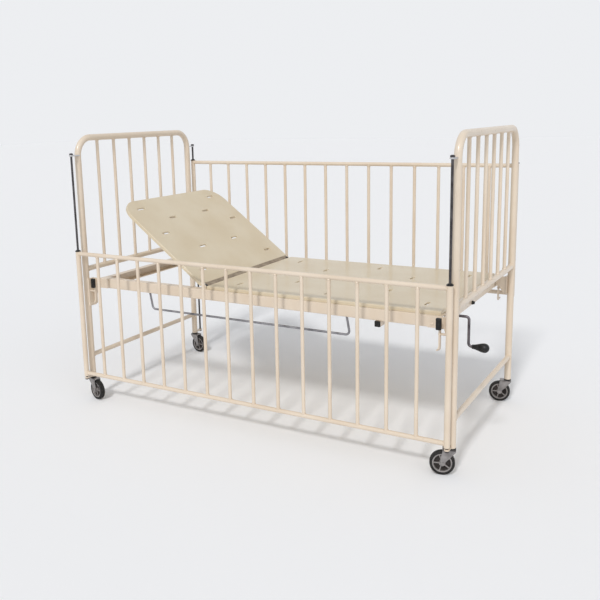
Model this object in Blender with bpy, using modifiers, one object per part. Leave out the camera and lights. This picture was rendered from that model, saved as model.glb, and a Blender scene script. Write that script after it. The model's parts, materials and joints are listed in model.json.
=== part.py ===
"""Child's hospital bed with drop sides and a crank-raised backrest.

Metres, +Z up. X runs along the bed with the foot end at +X, the front side faces -Y,
and the floor is z = 0. The front side hangs lowered and the rear side stands raised.
"""
import math

import bmesh
import bpy
from mathutils import Matrix, Vector

# Driving dimensions of the whole bed
POST_SPAN_X = 1.520          # between post centres, along the bed
POST_SPAN_Y = 0.720          # between post centres, across the bed
HOOP_TOP_Z = 1.070           # centre of the bent tube's top run
HOOP_R = 0.0127              # end hoops are 25.4 mm tube
HOOP_BEND = 0.072            # centre-line radius of the two top bends
POST_FOOT_Z = 0.0925         # lower end of the posts
MIDDLE_X = 0.034             # posts' middle to the middle of the whole length, crank included
SEAT_GAP = 0.0003            # gap left where two pieces touch
RUN_GAP = 0.0006             # running clearance of turning and sliding fits
MERGE = 0.00001              # points closer than this are one point
ARC_STEPS = 8                # straight pieces in a half or quarter round

# End grilles and stretchers
GRILLE_BARS = 6
GRILLE_PITCH = 0.0987
GRILLE_BAR_R = 0.0064
GRILLE_CROSS_Z = 0.546
GRILLE_CROSS_R = 0.0110
STRETCHER_Z = 0.184
STRETCHER_R = 0.0095

# Bed frame of folded channels
CHANNEL_TOP_Z = 0.508
CHANNEL_HEIGHT = 0.039
CHANNEL_FLANGE = 0.030
CHANNEL_WALL = 0.0025
CHANNEL_POST_Y = 0.026       # from the post centre in to the side channel's outer face
CHANNEL_POST_X = 0.048       # from the post centre in to the channels' ends
CROSS_TUBE_POST_X = 0.263    # from the foot posts in to the cross tube
CROSS_TUBE_SIDE = 0.020
CROSS_TUBE_CAP = 0.003
BRACKET_WALL = 0.005
BRACKET_LENGTH = 0.085
BRACKET_HEIGHT = 0.113       # front brackets; the rear ones end higher
REAR_BRACKET_HEIGHT = 0.069
GUSSET_WIDTH = 0.026         # bracket's width along the bed, just below the channel
GUSSET_TIP = 0.008           # and at its lower end
PLUG_R = 0.0070
PLUG_LENGTH = 0.009
PLUG_RISE = 0.0085           # channel's lower edge to the plug's middle

# Mattress platform
DECK_DEPTH = 0.012           # height of the folded tray edge
DECK_SHEET = 0.0016
DECK_EDGE_Y = 0.009          # channel face to platform edge, at the sides
DECK_EDGE_X = 0.006          # channel face to platform edge, at the foot
SLOT_LENGTH = 0.046
SLOT_WIDTH = 0.011
SLOT_EDGE_Y = 0.085          # platform edge to the outer slots' middle
SLOT_STEP_Y = 0.125          # from the outer slots in to the inner ones
DECK_SLOT_FIRST = 0.110      # from the hinge axis to the first row
DECK_SLOT_LAST = 0.073       # from the last row to the foot edge
SLOT_ROWS = 5

# Backrest and its hinge
HINGE_POST_X = 0.555         # from the head posts to the hinge axis
HINGE_ROD_R = 0.0050
HINGE_EDGE = 0.0155          # from the hinge axis to the fixed platform's edge
BACK_EDGE = 0.0125           # from the hinge axis to the backrest's lower edge
BACK_LENGTH = 0.492          # from the hinge axis to the backrest's top edge
BACK_CORNER = 0.085
BACK_ANGLE = 37.0            # degrees raised, as stored
BACK_ARM_EDGE = 0.060        # platform edge to the arms' middle
BACK_ARM_WIDTH = 0.006
BACK_ARM_DEPTH = 0.024
BACK_ARM_LENGTH = 0.400
BACK_SPREADER_R = 0.0080
SLEEVE_R = 0.0085
SLEEVE_LENGTH = 0.030
EAR_WIDTH = 0.005
EAR_R = 0.0100
LEVER_LENGTH = 0.036         # hinge axis to the push pin; short, so that it stays behind the channel
LEVER_WALL = 0.0080
LEVER_HALF = 0.0105
LEVER_NECK_HALF = 0.0050     # half width at the hinge
LEVER_TAPER = 0.024          # distance below the hinge at which the lever is full width
LEVER_SLOT_HALF = 0.0060     # half width of the slot that the push pin works in
LEVER_SLOT_TRAVEL = 0.0095
BACK_SLOT_ROWS = (0.074, 0.184, 0.292, 0.366, 0.442)

# Crank, lead screw and push arm
CRANK_BELOW_TOP = 0.0105     # channel top to the screw's axis
CRANK_POST_X = 0.018         # from the foot posts out to the crank's arm
CRANK_ROD_R = 0.0045
CRANK_BEND = 0.010
CRANK_DROP = 0.096
CRANK_PIN_LENGTH = 0.012
GRIP_LENGTH = 0.054
GRIP_R = 0.0150
GRIP_NECK_R = 0.0070
GRIP_STEPS = 5
SCREW_R = 0.0065
SCREW_LENGTH = 0.588
COUPLING_POST_X = 0.032      # from the foot posts in to the joint of crank rod and screw
NUT_FROM_HINGE = 0.455
NUT_LENGTH = 0.044
NUT_SIDE = 0.024
BEARING_LENGTH = 0.026
BEARING_SIDE = 0.026
PUSH_PIN_R = 0.0040
PUSH_ARM_WALL = 0.005
PUSH_ARM_HALF = 0.0080

# Bag rail under the front channel
BAG_RAIL_R = 0.0040
BAG_RAIL_FACE_Y = 0.016      # channel face to the rail's middle
BAG_RAIL_DROP = 0.066        # below the channel
BAG_RAIL_HEAD = 0.305        # from the head posts
BAG_RAIL_FOOT = 0.367        # from the foot posts
BAG_RAIL_LEAN = 0.012
BAG_RAIL_BEND = 0.014

# Drop sides
SIDE_OFFSET_Y = 0.040        # from the post centre out to the side's plane
SIDE_UPRIGHT_INSET = 0.004
SIDE_UPRIGHT_R = 0.0098
SIDE_RAIL_R = 0.0080
SIDE_BAR_R = 0.0064
SIDE_BARS = 14
SIDE_TOP_Z = 0.616           # top rail's centre with the side lowered
SIDE_BOTTOM_Z = 0.119        # bottom rail's centre with the side lowered
SIDE_TOP_GAP = 0.076         # raised top rail to the upper lug
UPRIGHT_FOOT = 0.013         # upright below the bottom rail's centre
ROD_R = 0.0042
BUSH_R = 0.0112
BUSH_HEIGHT = 0.006
LUG_TOP_DROP = 0.067         # hoop's top run to the upper lug
LUG_FOOT_RISE = 0.006        # post's lower end to the lower lug
LUG_WALL = 0.005
LUG_R = 0.0085
NUT_R = 0.0075
NUT_HEIGHT = 0.007
FOOT_NUT_HEIGHT = 0.0055     # under the lower lug

# Drop-side catches
CATCH_X_INSET = 0.046        # from the post centre inwards along the bed
CATCH_PIVOT_DROP = 0.050     # below the channel's top
CATCH_POST_Y = 0.0015        # from the post centre in to the pivot
CATCH_WALL = 0.005
CATCH_HALF = 0.0065
CATCH_TOE_DROP = 0.044       # below the pivot
CATCH_TOE_REACH = 0.0295     # out from the pivot
CATCH_GRIP_RISE = 0.016      # above the pivot
CATCH_GRIP_HEIGHT = 0.038
CATCH_GRIP_WIDTH = 0.017
CATCH_GRIP_DEPTH = 0.012
CATCH_PIN_R = 0.0040

# Castors
WHEEL_R = 0.040
TYRE_WIDTH = 0.020
TYRE_DEPTH = 0.0085
HUB_WIDTH = 0.018
HUB_BORE = 0.0050
HUB_RIBS = 5
HUB_RIB_WIDTH = 0.0040
HUB_RIB_SINK = 0.0015        # ribs below the hub's rim
HUB_RIM = 0.0035
HUB_WEB = 0.006
HUB_BOSS_R = 0.0095
AXLE_R = 0.0042
WHEEL_STEPS = 20
CASTOR_TRAIL = 0.029
CASTOR_STEM_R = 0.0055
CASTOR_STEM = 0.040
CASTOR_SEAT_R = 0.0135
CASTOR_SEAT = 0.0042
FORK_WALL = 0.0025
FORK_INNER = 0.0245          # clear width between the fork's cheeks
FORK_CROWN_GAP = 0.0035      # between the tyre and the fork's crown
FORK_ROUND_START = math.radians(160)    # round lower end of the cheeks
FORK_ROUND_SWEEP = math.radians(210)
CASTOR_HEADINGS = {"front_head": -15.0, "rear_head": -10.0,
                   "front_foot": -163.0, "rear_foot": -167.0}

# Sizes that follow from the ones above
HALF_X = POST_SPAN_X / 2
HALF_Y = POST_SPAN_Y / 2
SIDE_Y = HALF_Y + SIDE_OFFSET_Y
UPRIGHT_X = HALF_X - SIDE_UPRIGHT_INSET
CHANNEL_LOW_Z = CHANNEL_TOP_Z - CHANNEL_HEIGHT
CHANNEL_FACE_Y = HALF_Y - CHANNEL_POST_Y
CHANNEL_END_X = HALF_X - CHANNEL_POST_X
BRACKET_LOW_Z = {"front": CHANNEL_TOP_Z - BRACKET_HEIGHT,
                 "rear": CHANNEL_TOP_Z - REAR_BRACKET_HEIGHT}
CROSS_TUBE_X = HALF_X - CROSS_TUBE_POST_X
DECK_HALF_Y = CHANNEL_FACE_Y - DECK_EDGE_Y
DECK_FOOT_X = CHANNEL_END_X - DECK_EDGE_X
SLOT_OUTER_Y = DECK_HALF_Y - SLOT_EDGE_Y
SLOT_INNER_Y = SLOT_OUTER_Y - SLOT_STEP_Y
DECK_TOP_Z = CHANNEL_TOP_Z + SEAT_GAP + DECK_DEPTH
HINGE_X = HINGE_POST_X - HALF_X
HINGE_Z = DECK_TOP_Z - HINGE_ROD_R - DECK_SHEET - 2 * SEAT_GAP
BACK_ARM_Y = DECK_HALF_Y - BACK_ARM_EDGE
CRANK_Y = -BACK_ARM_Y
CRANK_Z = CHANNEL_TOP_Z - CRANK_BELOW_TOP
CRANK_ARM_X = HALF_X + CRANK_POST_X
SCREW_COUPLING_X = HALF_X - COUPLING_POST_X
SCREW_HEAD_X = SCREW_COUPLING_X - SCREW_LENGTH
NUT_X = HINGE_X + NUT_FROM_HINGE
BAG_RAIL_Y = BAG_RAIL_FACE_Y - CHANNEL_FACE_Y
BAG_RAIL_Z = CHANNEL_LOW_Z - BAG_RAIL_DROP
BAG_RAIL_HEAD_X = BAG_RAIL_HEAD - HALF_X
BAG_RAIL_FOOT_X = HALF_X - BAG_RAIL_FOOT
LUG_TOP_Z = HOOP_TOP_Z - LUG_TOP_DROP
LUG_FOOT_Z = POST_FOOT_Z + LUG_FOOT_RISE
SIDE_TRAVEL = LUG_TOP_Z - SIDE_TOP_GAP - SIDE_TOP_Z
CATCH_X = HALF_X - CATCH_X_INSET
CATCH_Y = HALF_Y - CATCH_POST_Y
CATCH_PIVOT_Z = CHANNEL_TOP_Z - CATCH_PIVOT_DROP
CATCH_TOE_Z = CATCH_PIVOT_Z - CATCH_TOE_DROP
CATCH_TOE_Y = CATCH_Y + CATCH_TOE_REACH
CATCH_GRIP_LOW_Z = CATCH_PIVOT_Z + CATCH_GRIP_RISE
SHARP_ANGLE = math.radians(35)
ENDS = {"head": -1, "foot": 1}
SIDES = {"front": -1, "rear": 1}

PAINT = ("cream_paint", (0.78, 0.72, 0.60), 0.35, 0.0)
DECK_PAINT = ("platform_paint", (0.70, 0.63, 0.48), 0.45, 0.0)
BLACK = ("black_plastic", (0.02, 0.02, 0.02), 0.45, 0.0)
STEEL = ("dark_steel", (0.16, 0.14, 0.15), 0.35, 1.0)
ZINC = ("zinc_plate", (0.62, 0.62, 0.62), 0.3, 1.0)
RUBBER = ("castor_rubber", (0.025, 0.025, 0.025), 0.8, 0.0)


def clear_scene():
    """Remove whatever the open file holds."""
    for item in list(bpy.data.objects):
        bpy.data.objects.remove(item, do_unlink=True)


def new_collection(name):
    """Add a collection to the scene."""
    group = bpy.data.collections.new(name)
    bpy.context.scene.collection.children.link(group)
    return group


def material(finish):
    """Return the shared material of one finish."""
    name, colour, roughness, metallic = finish
    made = bpy.data.materials.get(name)
    if made is None:
        made = bpy.data.materials.new(name)
        made.use_nodes = True
        shader = made.node_tree.nodes["Principled BSDF"]
        shader.inputs["Base Color"].default_value = (*colour, 1.0)
        shader.inputs["Roughness"].default_value = roughness
        shader.inputs["Metallic"].default_value = metallic
    return made


def add_object(name, data):
    """Link a new object that holds the given mesh or curve."""
    made = bpy.data.objects.new(name, data)
    PARTS.objects.link(made)
    return made


def mesh_from(item):
    """Turn an evaluated object into a plain welded mesh object with the same place."""
    bpy.context.view_layer.update()
    source = item.evaluated_get(bpy.context.evaluated_depsgraph_get())
    mesh = bpy.data.meshes.new_from_object(source)
    shape = bmesh.new()
    shape.from_mesh(mesh)
    bmesh.ops.remove_doubles(shape, verts=shape.verts, dist=MERGE)
    bmesh.ops.dissolve_degenerate(shape, edges=shape.edges, dist=MERGE)
    shape.to_mesh(mesh)
    shape.free()
    name = item.name
    matrix = item.matrix_world.copy()
    bpy.data.objects.remove(item, do_unlink=True)
    made = add_object(name, mesh)
    made.matrix_world = matrix
    return made


def finish(item, look, parent=None):
    """Give a part its material, smooth shading and parent."""
    item.data.materials.clear()
    item.data.materials.append(material(look))
    item.data.shade_smooth()
    item.data.set_sharp_from_angle(angle=SHARP_ANGLE)
    if parent is not None:
        bpy.context.view_layer.update()
        item.parent = parent
        item.matrix_parent_inverse = parent.matrix_world.inverted()
    return item


def axis_empty(name, place):
    """Add an empty on a joint's axis."""
    made = bpy.data.objects.new(name, None)
    made.location = place
    PARTS.objects.link(made)
    bpy.context.view_layer.update()
    return made


def box(name, low, high):
    """Add a box between two corners."""
    shape = bmesh.new()
    low = Vector(low)
    high = Vector(high)
    size = high - low
    matrix = Matrix.Translation((low + high) / 2) @ Matrix.Diagonal((*size, 1.0))
    bmesh.ops.create_cube(shape, size=1.0, matrix=matrix)
    mesh = bpy.data.meshes.new(name)
    shape.to_mesh(mesh)
    shape.free()
    return add_object(name, mesh)


def cylinder(name, start, end, radius, sides=12):
    """Add a closed cylinder from one point to another."""
    start = Vector(start)
    end = Vector(end)
    run = end - start
    turn = Vector((0, 0, 1)).rotation_difference(run).to_matrix().to_4x4()
    shape = bmesh.new()
    bmesh.ops.create_cone(shape, cap_ends=True, segments=sides, radius1=radius, radius2=radius,
                          depth=run.length, matrix=Matrix.Translation((start + end) / 2) @ turn)
    mesh = bpy.data.meshes.new(name)
    shape.to_mesh(mesh)
    shape.free()
    return add_object(name, mesh)


def rounded_path(corners, radius, steps):
    """Return points along straight runs whose inner corners are circular bends."""
    corners = [Vector(point) for point in corners]
    points = [corners[0]]
    for before, corner, after in zip(corners, corners[1:], corners[2:]):
        back = (before - corner).normalized()
        ahead = (after - corner).normalized()
        half = back.angle(ahead) / 2
        reach = radius / math.tan(half)
        centre = corner + (back + ahead).normalized() * radius / math.sin(half)
        first = corner + back * reach - centre
        last = corner + ahead * reach - centre
        sweep = first.angle(last)
        for step in range(steps + 1):
            share = step / steps
            arm = first * math.sin((1 - share) * sweep) + last * math.sin(share * sweep)
            points.append(centre + arm / math.sin(sweep))
    points.append(corners[-1])
    return points


def tube(name, points, radius, resolution=2):
    """Add a solid round bar along a list of points."""
    curve = bpy.data.curves.new(name, "CURVE")
    curve.dimensions = "3D"
    curve.bevel_depth = radius
    curve.bevel_resolution = resolution
    curve.use_fill_caps = True
    spline = curve.splines.new("POLY")
    spline.points.add(len(points) - 1)
    for slot, point in zip(spline.points, points):
        slot.co = (*point, 1.0)
    return mesh_from(add_object(name, curve))


def outline(name, points, thickness):
    """Add a flat plate in the XY plane, centred on z = 0."""
    curve = bpy.data.curves.new(name, "CURVE")
    curve.dimensions = "2D"
    curve.fill_mode = "BOTH"
    curve.extrude = thickness / 2
    spline = curve.splines.new("POLY")
    spline.points.add(len(points) - 1)
    for slot, (across, along) in zip(spline.points, points):
        slot.co = (across, along, 0.0, 1.0)
    spline.use_cyclic_u = True
    return mesh_from(add_object(name, curve))


def place_mesh(item, matrix):
    """Move a part's mesh by a matrix and leave its object at the world origin."""
    item.data.transform(matrix)
    return item


def turned(name, profile, steps, axis_matrix):
    """Turn a closed profile of (radius, height) points round an axis."""
    shape = bmesh.new()
    points = [shape.verts.new((radius, 0.0, height)) for radius, height in profile]
    closed = all(radius > 1e-5 for radius, height in profile)
    pairs = list(zip(points, points[1:]))
    if closed:
        pairs.append((points[-1], points[0]))
    for first, second in pairs:
        shape.edges.new((first, second))
    mesh = bpy.data.meshes.new(name)
    shape.to_mesh(mesh)
    shape.free()
    item = add_object(name, mesh)
    screw = item.modifiers.new("turn", "SCREW")
    screw.steps = steps
    screw.render_steps = steps
    screw.use_merge_vertices = True
    screw.merge_threshold = 1e-5
    screw.use_normal_calculate = True
    item = mesh_from(item)
    shape = bmesh.new()
    shape.from_mesh(item.data)
    bmesh.ops.recalc_face_normals(shape, faces=shape.faces)
    shape.to_mesh(item.data)
    shape.free()
    return place_mesh(item, axis_matrix)


def combine(item, others, operation):
    """Join the other shapes to a part, or cut them from it, and use them up."""
    for other in others:
        step = item.modifiers.new(operation.lower(), "BOOLEAN")
        step.operation = operation
        step.solver = "EXACT"
        step.object = other
    item = mesh_from(item)
    for other in others:
        bpy.data.objects.remove(other, do_unlink=True)
    return item


def weld(item, others):
    """Weld shapes into one body."""
    return combine(item, others, "UNION")


def cut(item, others):
    """Cut shapes out of a part."""
    return combine(item, others, "DIFFERENCE")


def obround(length, width, steps=4):
    """Return the outline of a slot with round ends, its long side along the second axis."""
    radius = width / 2
    reach = length / 2 - radius
    points = []
    for side in (1, -1):
        for step in range(steps + 1):
            angle = math.pi * step / steps
            points.append((side * radius * math.cos(angle), side * (reach + radius * math.sin(angle))))
    return points


def add_gap(radius):
    """Return a radius grown by the seating gap."""
    return radius + SEAT_GAP


def across_plate():
    """Return the turn that stands an XY outline in the YZ plane, its thickness along X."""
    return Matrix(((0, 0, 1, 0), (1, 0, 0, 0), (0, 1, 0, 0), (0, 0, 0, 1)))


def along_plate():
    """Return the turn that stands an XY outline in the XZ plane, its thickness along Y."""
    return Matrix(((1, 0, 0, 0), (0, 0, -1, 0), (0, 1, 0, 0), (0, 0, 0, 1)))


def hoop_path(end):
    """Return the centre line of one end's bent tube."""
    x = ENDS[end] * HALF_X
    corners = [(x, -HALF_Y, POST_FOOT_Z), (x, -HALF_Y, HOOP_TOP_Z),
               (x, HALF_Y, HOOP_TOP_Z), (x, HALF_Y, POST_FOOT_Z)]
    return rounded_path(corners, HOOP_BEND, 5)


def rod_lug(name, x, side, z):
    """Add the flat lug that carries a guide rod beside a post."""
    sign = SIDES[side]
    plan = [(x - LUG_R, sign * HALF_Y), (x + LUG_R, sign * HALF_Y)]
    for step in range(ARC_STEPS + 1):
        angle = math.pi * step / ARC_STEPS
        plan.append((x + LUG_R * math.cos(angle), sign * (SIDE_Y + LUG_R * math.sin(angle))))
    return place_mesh(outline(name, plan, LUG_WALL), Matrix.Translation((0, 0, z)))


def corner_bracket(name, end, side):
    """Add the folded angle that joins a side channel to a post, with the catch's pivot pin."""
    along = ENDS[end]
    sign = SIDES[side]
    inner_y = CHANNEL_FACE_Y + SEAT_GAP
    post_face = HALF_X - HOOP_R
    plan = [(along * (post_face + HOOP_R / 4), sign * inner_y),
            (along * (post_face - BRACKET_LENGTH), sign * inner_y),
            (along * (post_face - BRACKET_LENGTH), sign * (inner_y + BRACKET_WALL)),
            (along * (post_face - BRACKET_WALL), sign * (inner_y + BRACKET_WALL)),
            (along * (post_face - BRACKET_WALL), sign * (HALF_Y + HOOP_R / 2)),
            (along * (post_face + HOOP_R / 4), sign * (HALF_Y + HOOP_R / 2))]
    low_z = BRACKET_LOW_Z[side]
    height = CHANNEL_TOP_Z - low_z
    angle = outline(name, plan, height)
    place_mesh(angle, Matrix.Translation((0, 0, low_z + height / 2)))
    beyond = post_face - BRACKET_LENGTH - BRACKET_WALL
    under = low_z - BRACKET_WALL
    waste = [(along * (post_face - GUSSET_WIDTH), CHANNEL_LOW_Z), (along * beyond, CHANNEL_LOW_Z),
             (along * beyond, under), (along * (post_face - GUSSET_TIP), under)]
    taper = outline(name + "_taper", waste, 4 * BRACKET_WALL)
    place_mesh(taper, Matrix.Translation((0, sign * inner_y, 0)) @ along_plate())
    angle = cut(angle, [taper])
    pin_start = (along * (post_face - BRACKET_WALL / 2), sign * CATCH_Y, CATCH_PIVOT_Z)
    pin_end = (along * (CATCH_X - CATCH_WALL), sign * CATCH_Y, CATCH_PIVOT_Z)
    pin = cylinder(name + "_pin", pin_start, pin_end, CATCH_PIN_R, 12)
    return weld(angle, [pin])


def build_hoop(end):
    """Bend an end tube and weld on its rod lugs and corner brackets."""
    name = end + "_hoop"
    hoop = tube(name, hoop_path(end), HOOP_R, 4)
    rod_x = ENDS[end] * UPRIGHT_X
    extras = []
    cuts = []
    for side, sign in SIDES.items():
        extras.append(rod_lug("lug_top_" + side, rod_x, side, LUG_TOP_Z))
        extras.append(rod_lug("lug_foot_" + side, rod_x, side, LUG_FOOT_Z))
        extras.append(corner_bracket("bracket_" + side, end, side))
        rod_low = (rod_x, sign * SIDE_Y, POST_FOOT_Z)
        rod_high = (rod_x, sign * SIDE_Y, HOOP_TOP_Z)
        cuts.append(cylinder("rod_hole_" + side, rod_low, rod_high, ROD_R + RUN_GAP, 12))
        post = (ENDS[end] * HALF_X, sign * HALF_Y)
        stem_top = POST_FOOT_Z + CASTOR_STEM + RUN_GAP
        cuts.append(cylinder("stem_hole_" + side, (*post, POST_FOOT_Z - HOOP_R), (*post, stem_top),
                             CASTOR_STEM_R + RUN_GAP, 12))
    return finish(cut(weld(hoop, extras), cuts), PAINT)


def build_grille(end):
    """Weld an end's upright bars to their cross tube, coped to the hoop."""
    name = end + "_grille"
    x = ENDS[end] * HALF_X
    cross = cylinder(name, (x, -HALF_Y, GRILLE_CROSS_Z), (x, HALF_Y, GRILLE_CROSS_Z), GRILLE_CROSS_R, 12)
    bars = []
    for index in range(GRILLE_BARS):
        y = (index - (GRILLE_BARS - 1) / 2) * GRILLE_PITCH
        bars.append(cylinder("bar_%d" % index, (x, y, GRILLE_CROSS_Z), (x, y, HOOP_TOP_Z), GRILLE_BAR_R, 10))
    cope = tube(name + "_cope", hoop_path(end), add_gap(HOOP_R), 4)
    return finish(cut(weld(cross, bars), [cope]), PAINT)


def build_stretcher(end):
    """Cut the low tube between an end's two posts."""
    name = end + "_stretcher"
    x = ENDS[end] * HALF_X
    bar = cylinder(name, (x, -HALF_Y, STRETCHER_Z), (x, HALF_Y, STRETCHER_Z), STRETCHER_R, 12)
    cope = tube(name + "_cope", hoop_path(end), add_gap(HOOP_R), 4)
    return finish(cut(bar, [cope]), PAINT)


def channel_section(face, inward):
    """Return a folded channel's section, its web at the face and its flanges inwards."""
    tip = face + inward * CHANNEL_FLANGE
    inner = face + inward * CHANNEL_WALL
    high = CHANNEL_TOP_Z
    low = CHANNEL_LOW_Z
    return [(face, low), (tip, low), (tip, low + CHANNEL_WALL), (inner, low + CHANNEL_WALL),
            (inner, high - CHANNEL_WALL), (tip, high - CHANNEL_WALL), (tip, high), (face, high)]


def build_side_channel(side):
    """Fold a side channel and weld on the ear that carries the hinge rod."""
    name = side + "_channel"
    sign = SIDES[side]
    channel = outline(name, channel_section(sign * CHANNEL_FACE_Y, -sign), 2 * CHANNEL_END_X)
    place_mesh(channel, across_plate())
    ear_y = sign * hinge_ear_y()
    ear_low = (HINGE_X - EAR_R, ear_y - EAR_WIDTH / 2, CHANNEL_TOP_Z - CHANNEL_WALL / 2)
    ear_high = (HINGE_X + EAR_R, ear_y + EAR_WIDTH / 2, HINGE_Z)
    ear = box(name + "_ear", ear_low, ear_high)
    crown = cylinder(name + "_crown", (HINGE_X, ear_y - EAR_WIDTH / 2, HINGE_Z),
                     (HINGE_X, ear_y + EAR_WIDTH / 2, HINGE_Z), EAR_R)
    hole = cylinder(name + "_hole", (HINGE_X, ear_y - EAR_WIDTH, HINGE_Z),
                    (HINGE_X, ear_y + EAR_WIDTH, HINGE_Z), add_gap(HINGE_ROD_R))
    return finish(cut(weld(channel, [ear, crown]), [hole]), PAINT)


def hinge_ear_y():
    """Return the hinge ears' distance from the bed's middle."""
    return CHANNEL_FACE_Y - CHANNEL_FLANGE / 2


def build_end_channel(end):
    """Fold the channel that closes one end of the bed frame."""
    name = end + "_end_channel"
    sign = ENDS[end]
    face = sign * CHANNEL_END_X
    length = 2 * (CHANNEL_FACE_Y - CHANNEL_FLANGE - SEAT_GAP)
    channel = outline(name, channel_section(face, -sign), length)
    place_mesh(channel, along_plate())
    if end == "foot":
        hole = cylinder(name + "_hole", (face - CHANNEL_FLANGE / 2, CRANK_Y, CRANK_Z),
                        (face + CHANNEL_FLANGE / 2, CRANK_Y, CRANK_Z), SCREW_R + RUN_GAP)
        channel = cut(channel, [hole])
        plug_x = face + SEAT_GAP
        plug_z = CHANNEL_LOW_Z + PLUG_RISE
        plug = cylinder("foot_plug", (plug_x, 0, plug_z), (plug_x + PLUG_LENGTH, 0, plug_z), PLUG_R)
        finish(plug, BLACK)
    return finish(channel, PAINT)


def build_cross_tube():
    """Add the square tube under the channels that carries the screw bearing, and its end caps."""
    half = CROSS_TUBE_SIDE / 2
    high = CHANNEL_LOW_Z - SEAT_GAP
    low = high - CROSS_TUBE_SIDE
    bar = box("screw_cross_tube", (CROSS_TUBE_X - half, -CHANNEL_FACE_Y, low),
              (CROSS_TUBE_X + half, CHANNEL_FACE_Y, high))
    finish(bar, PAINT)
    for side, sign in SIDES.items():
        near = sign * (CHANNEL_FACE_Y + SEAT_GAP)
        far = sign * (CHANNEL_FACE_Y + SEAT_GAP + CROSS_TUBE_CAP)
        cap = box(side + "_tube_cap", (CROSS_TUBE_X - half, min(near, far), low),
                  (CROSS_TUBE_X + half, max(near, far), high))
        finish(cap, BLACK)


def slot_cutters(rows, plate_z):
    """Return the cutters of a staggered field of slots, given each row's distance along the bed."""
    cutters = []
    for index, row_x in enumerate(rows):
        reach = SLOT_OUTER_Y if index % 2 == 0 else SLOT_INNER_Y
        for sign in (-1, 1):
            slot = outline("slot", obround(SLOT_LENGTH, SLOT_WIDTH), 2 * DECK_DEPTH)
            cutters.append(place_mesh(slot, Matrix.Translation((row_x, sign * reach, plate_z))))
    return cutters


def build_deck():
    """Fold the fixed part of the mattress platform as a slotted tray."""
    head_x = HINGE_X + HINGE_EDGE
    low = CHANNEL_TOP_Z + SEAT_GAP
    tray = box("fixed_deck", (head_x, -DECK_HALF_Y, low), (DECK_FOOT_X, DECK_HALF_Y, DECK_TOP_Z))
    inner = box("deck_hollow", (head_x + DECK_SHEET, -DECK_HALF_Y + DECK_SHEET, low - DECK_DEPTH),
                (DECK_FOOT_X - DECK_SHEET, DECK_HALF_Y - DECK_SHEET, DECK_TOP_Z - DECK_SHEET))
    first_x = HINGE_X + DECK_SLOT_FIRST
    pitch = (DECK_FOOT_X - DECK_SLOT_LAST - first_x) / (SLOT_ROWS - 1)
    rows = [first_x + pitch * index for index in range(SLOT_ROWS)]
    return finish(cut(tray, [inner] + slot_cutters(rows, DECK_TOP_Z)), DECK_PAINT)


def back_outline(inset, lower_edge):
    """Return the backrest's plan with two round top corners."""
    half = DECK_HALF_Y - inset
    top_x = HINGE_X - BACK_LENGTH + inset
    radius = BACK_CORNER - inset
    points = [(lower_edge, -half), (lower_edge, half)]
    for sign in (1, -1):
        for step in range(ARC_STEPS + 1):
            angle = math.pi / 2 * step / ARC_STEPS
            if sign < 0:
                angle = math.pi / 2 - angle
            points.append((top_x + radius - radius * math.sin(angle),
                           sign * (half - radius + radius * math.cos(angle))))
    return points


def back_turn():
    """Return the turn that raises the backrest from flat to its stored angle."""
    pivot = Matrix.Translation((HINGE_X, 0, HINGE_Z))
    return pivot @ Matrix.Rotation(math.radians(BACK_ANGLE), 4, "Y") @ pivot.inverted()


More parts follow.
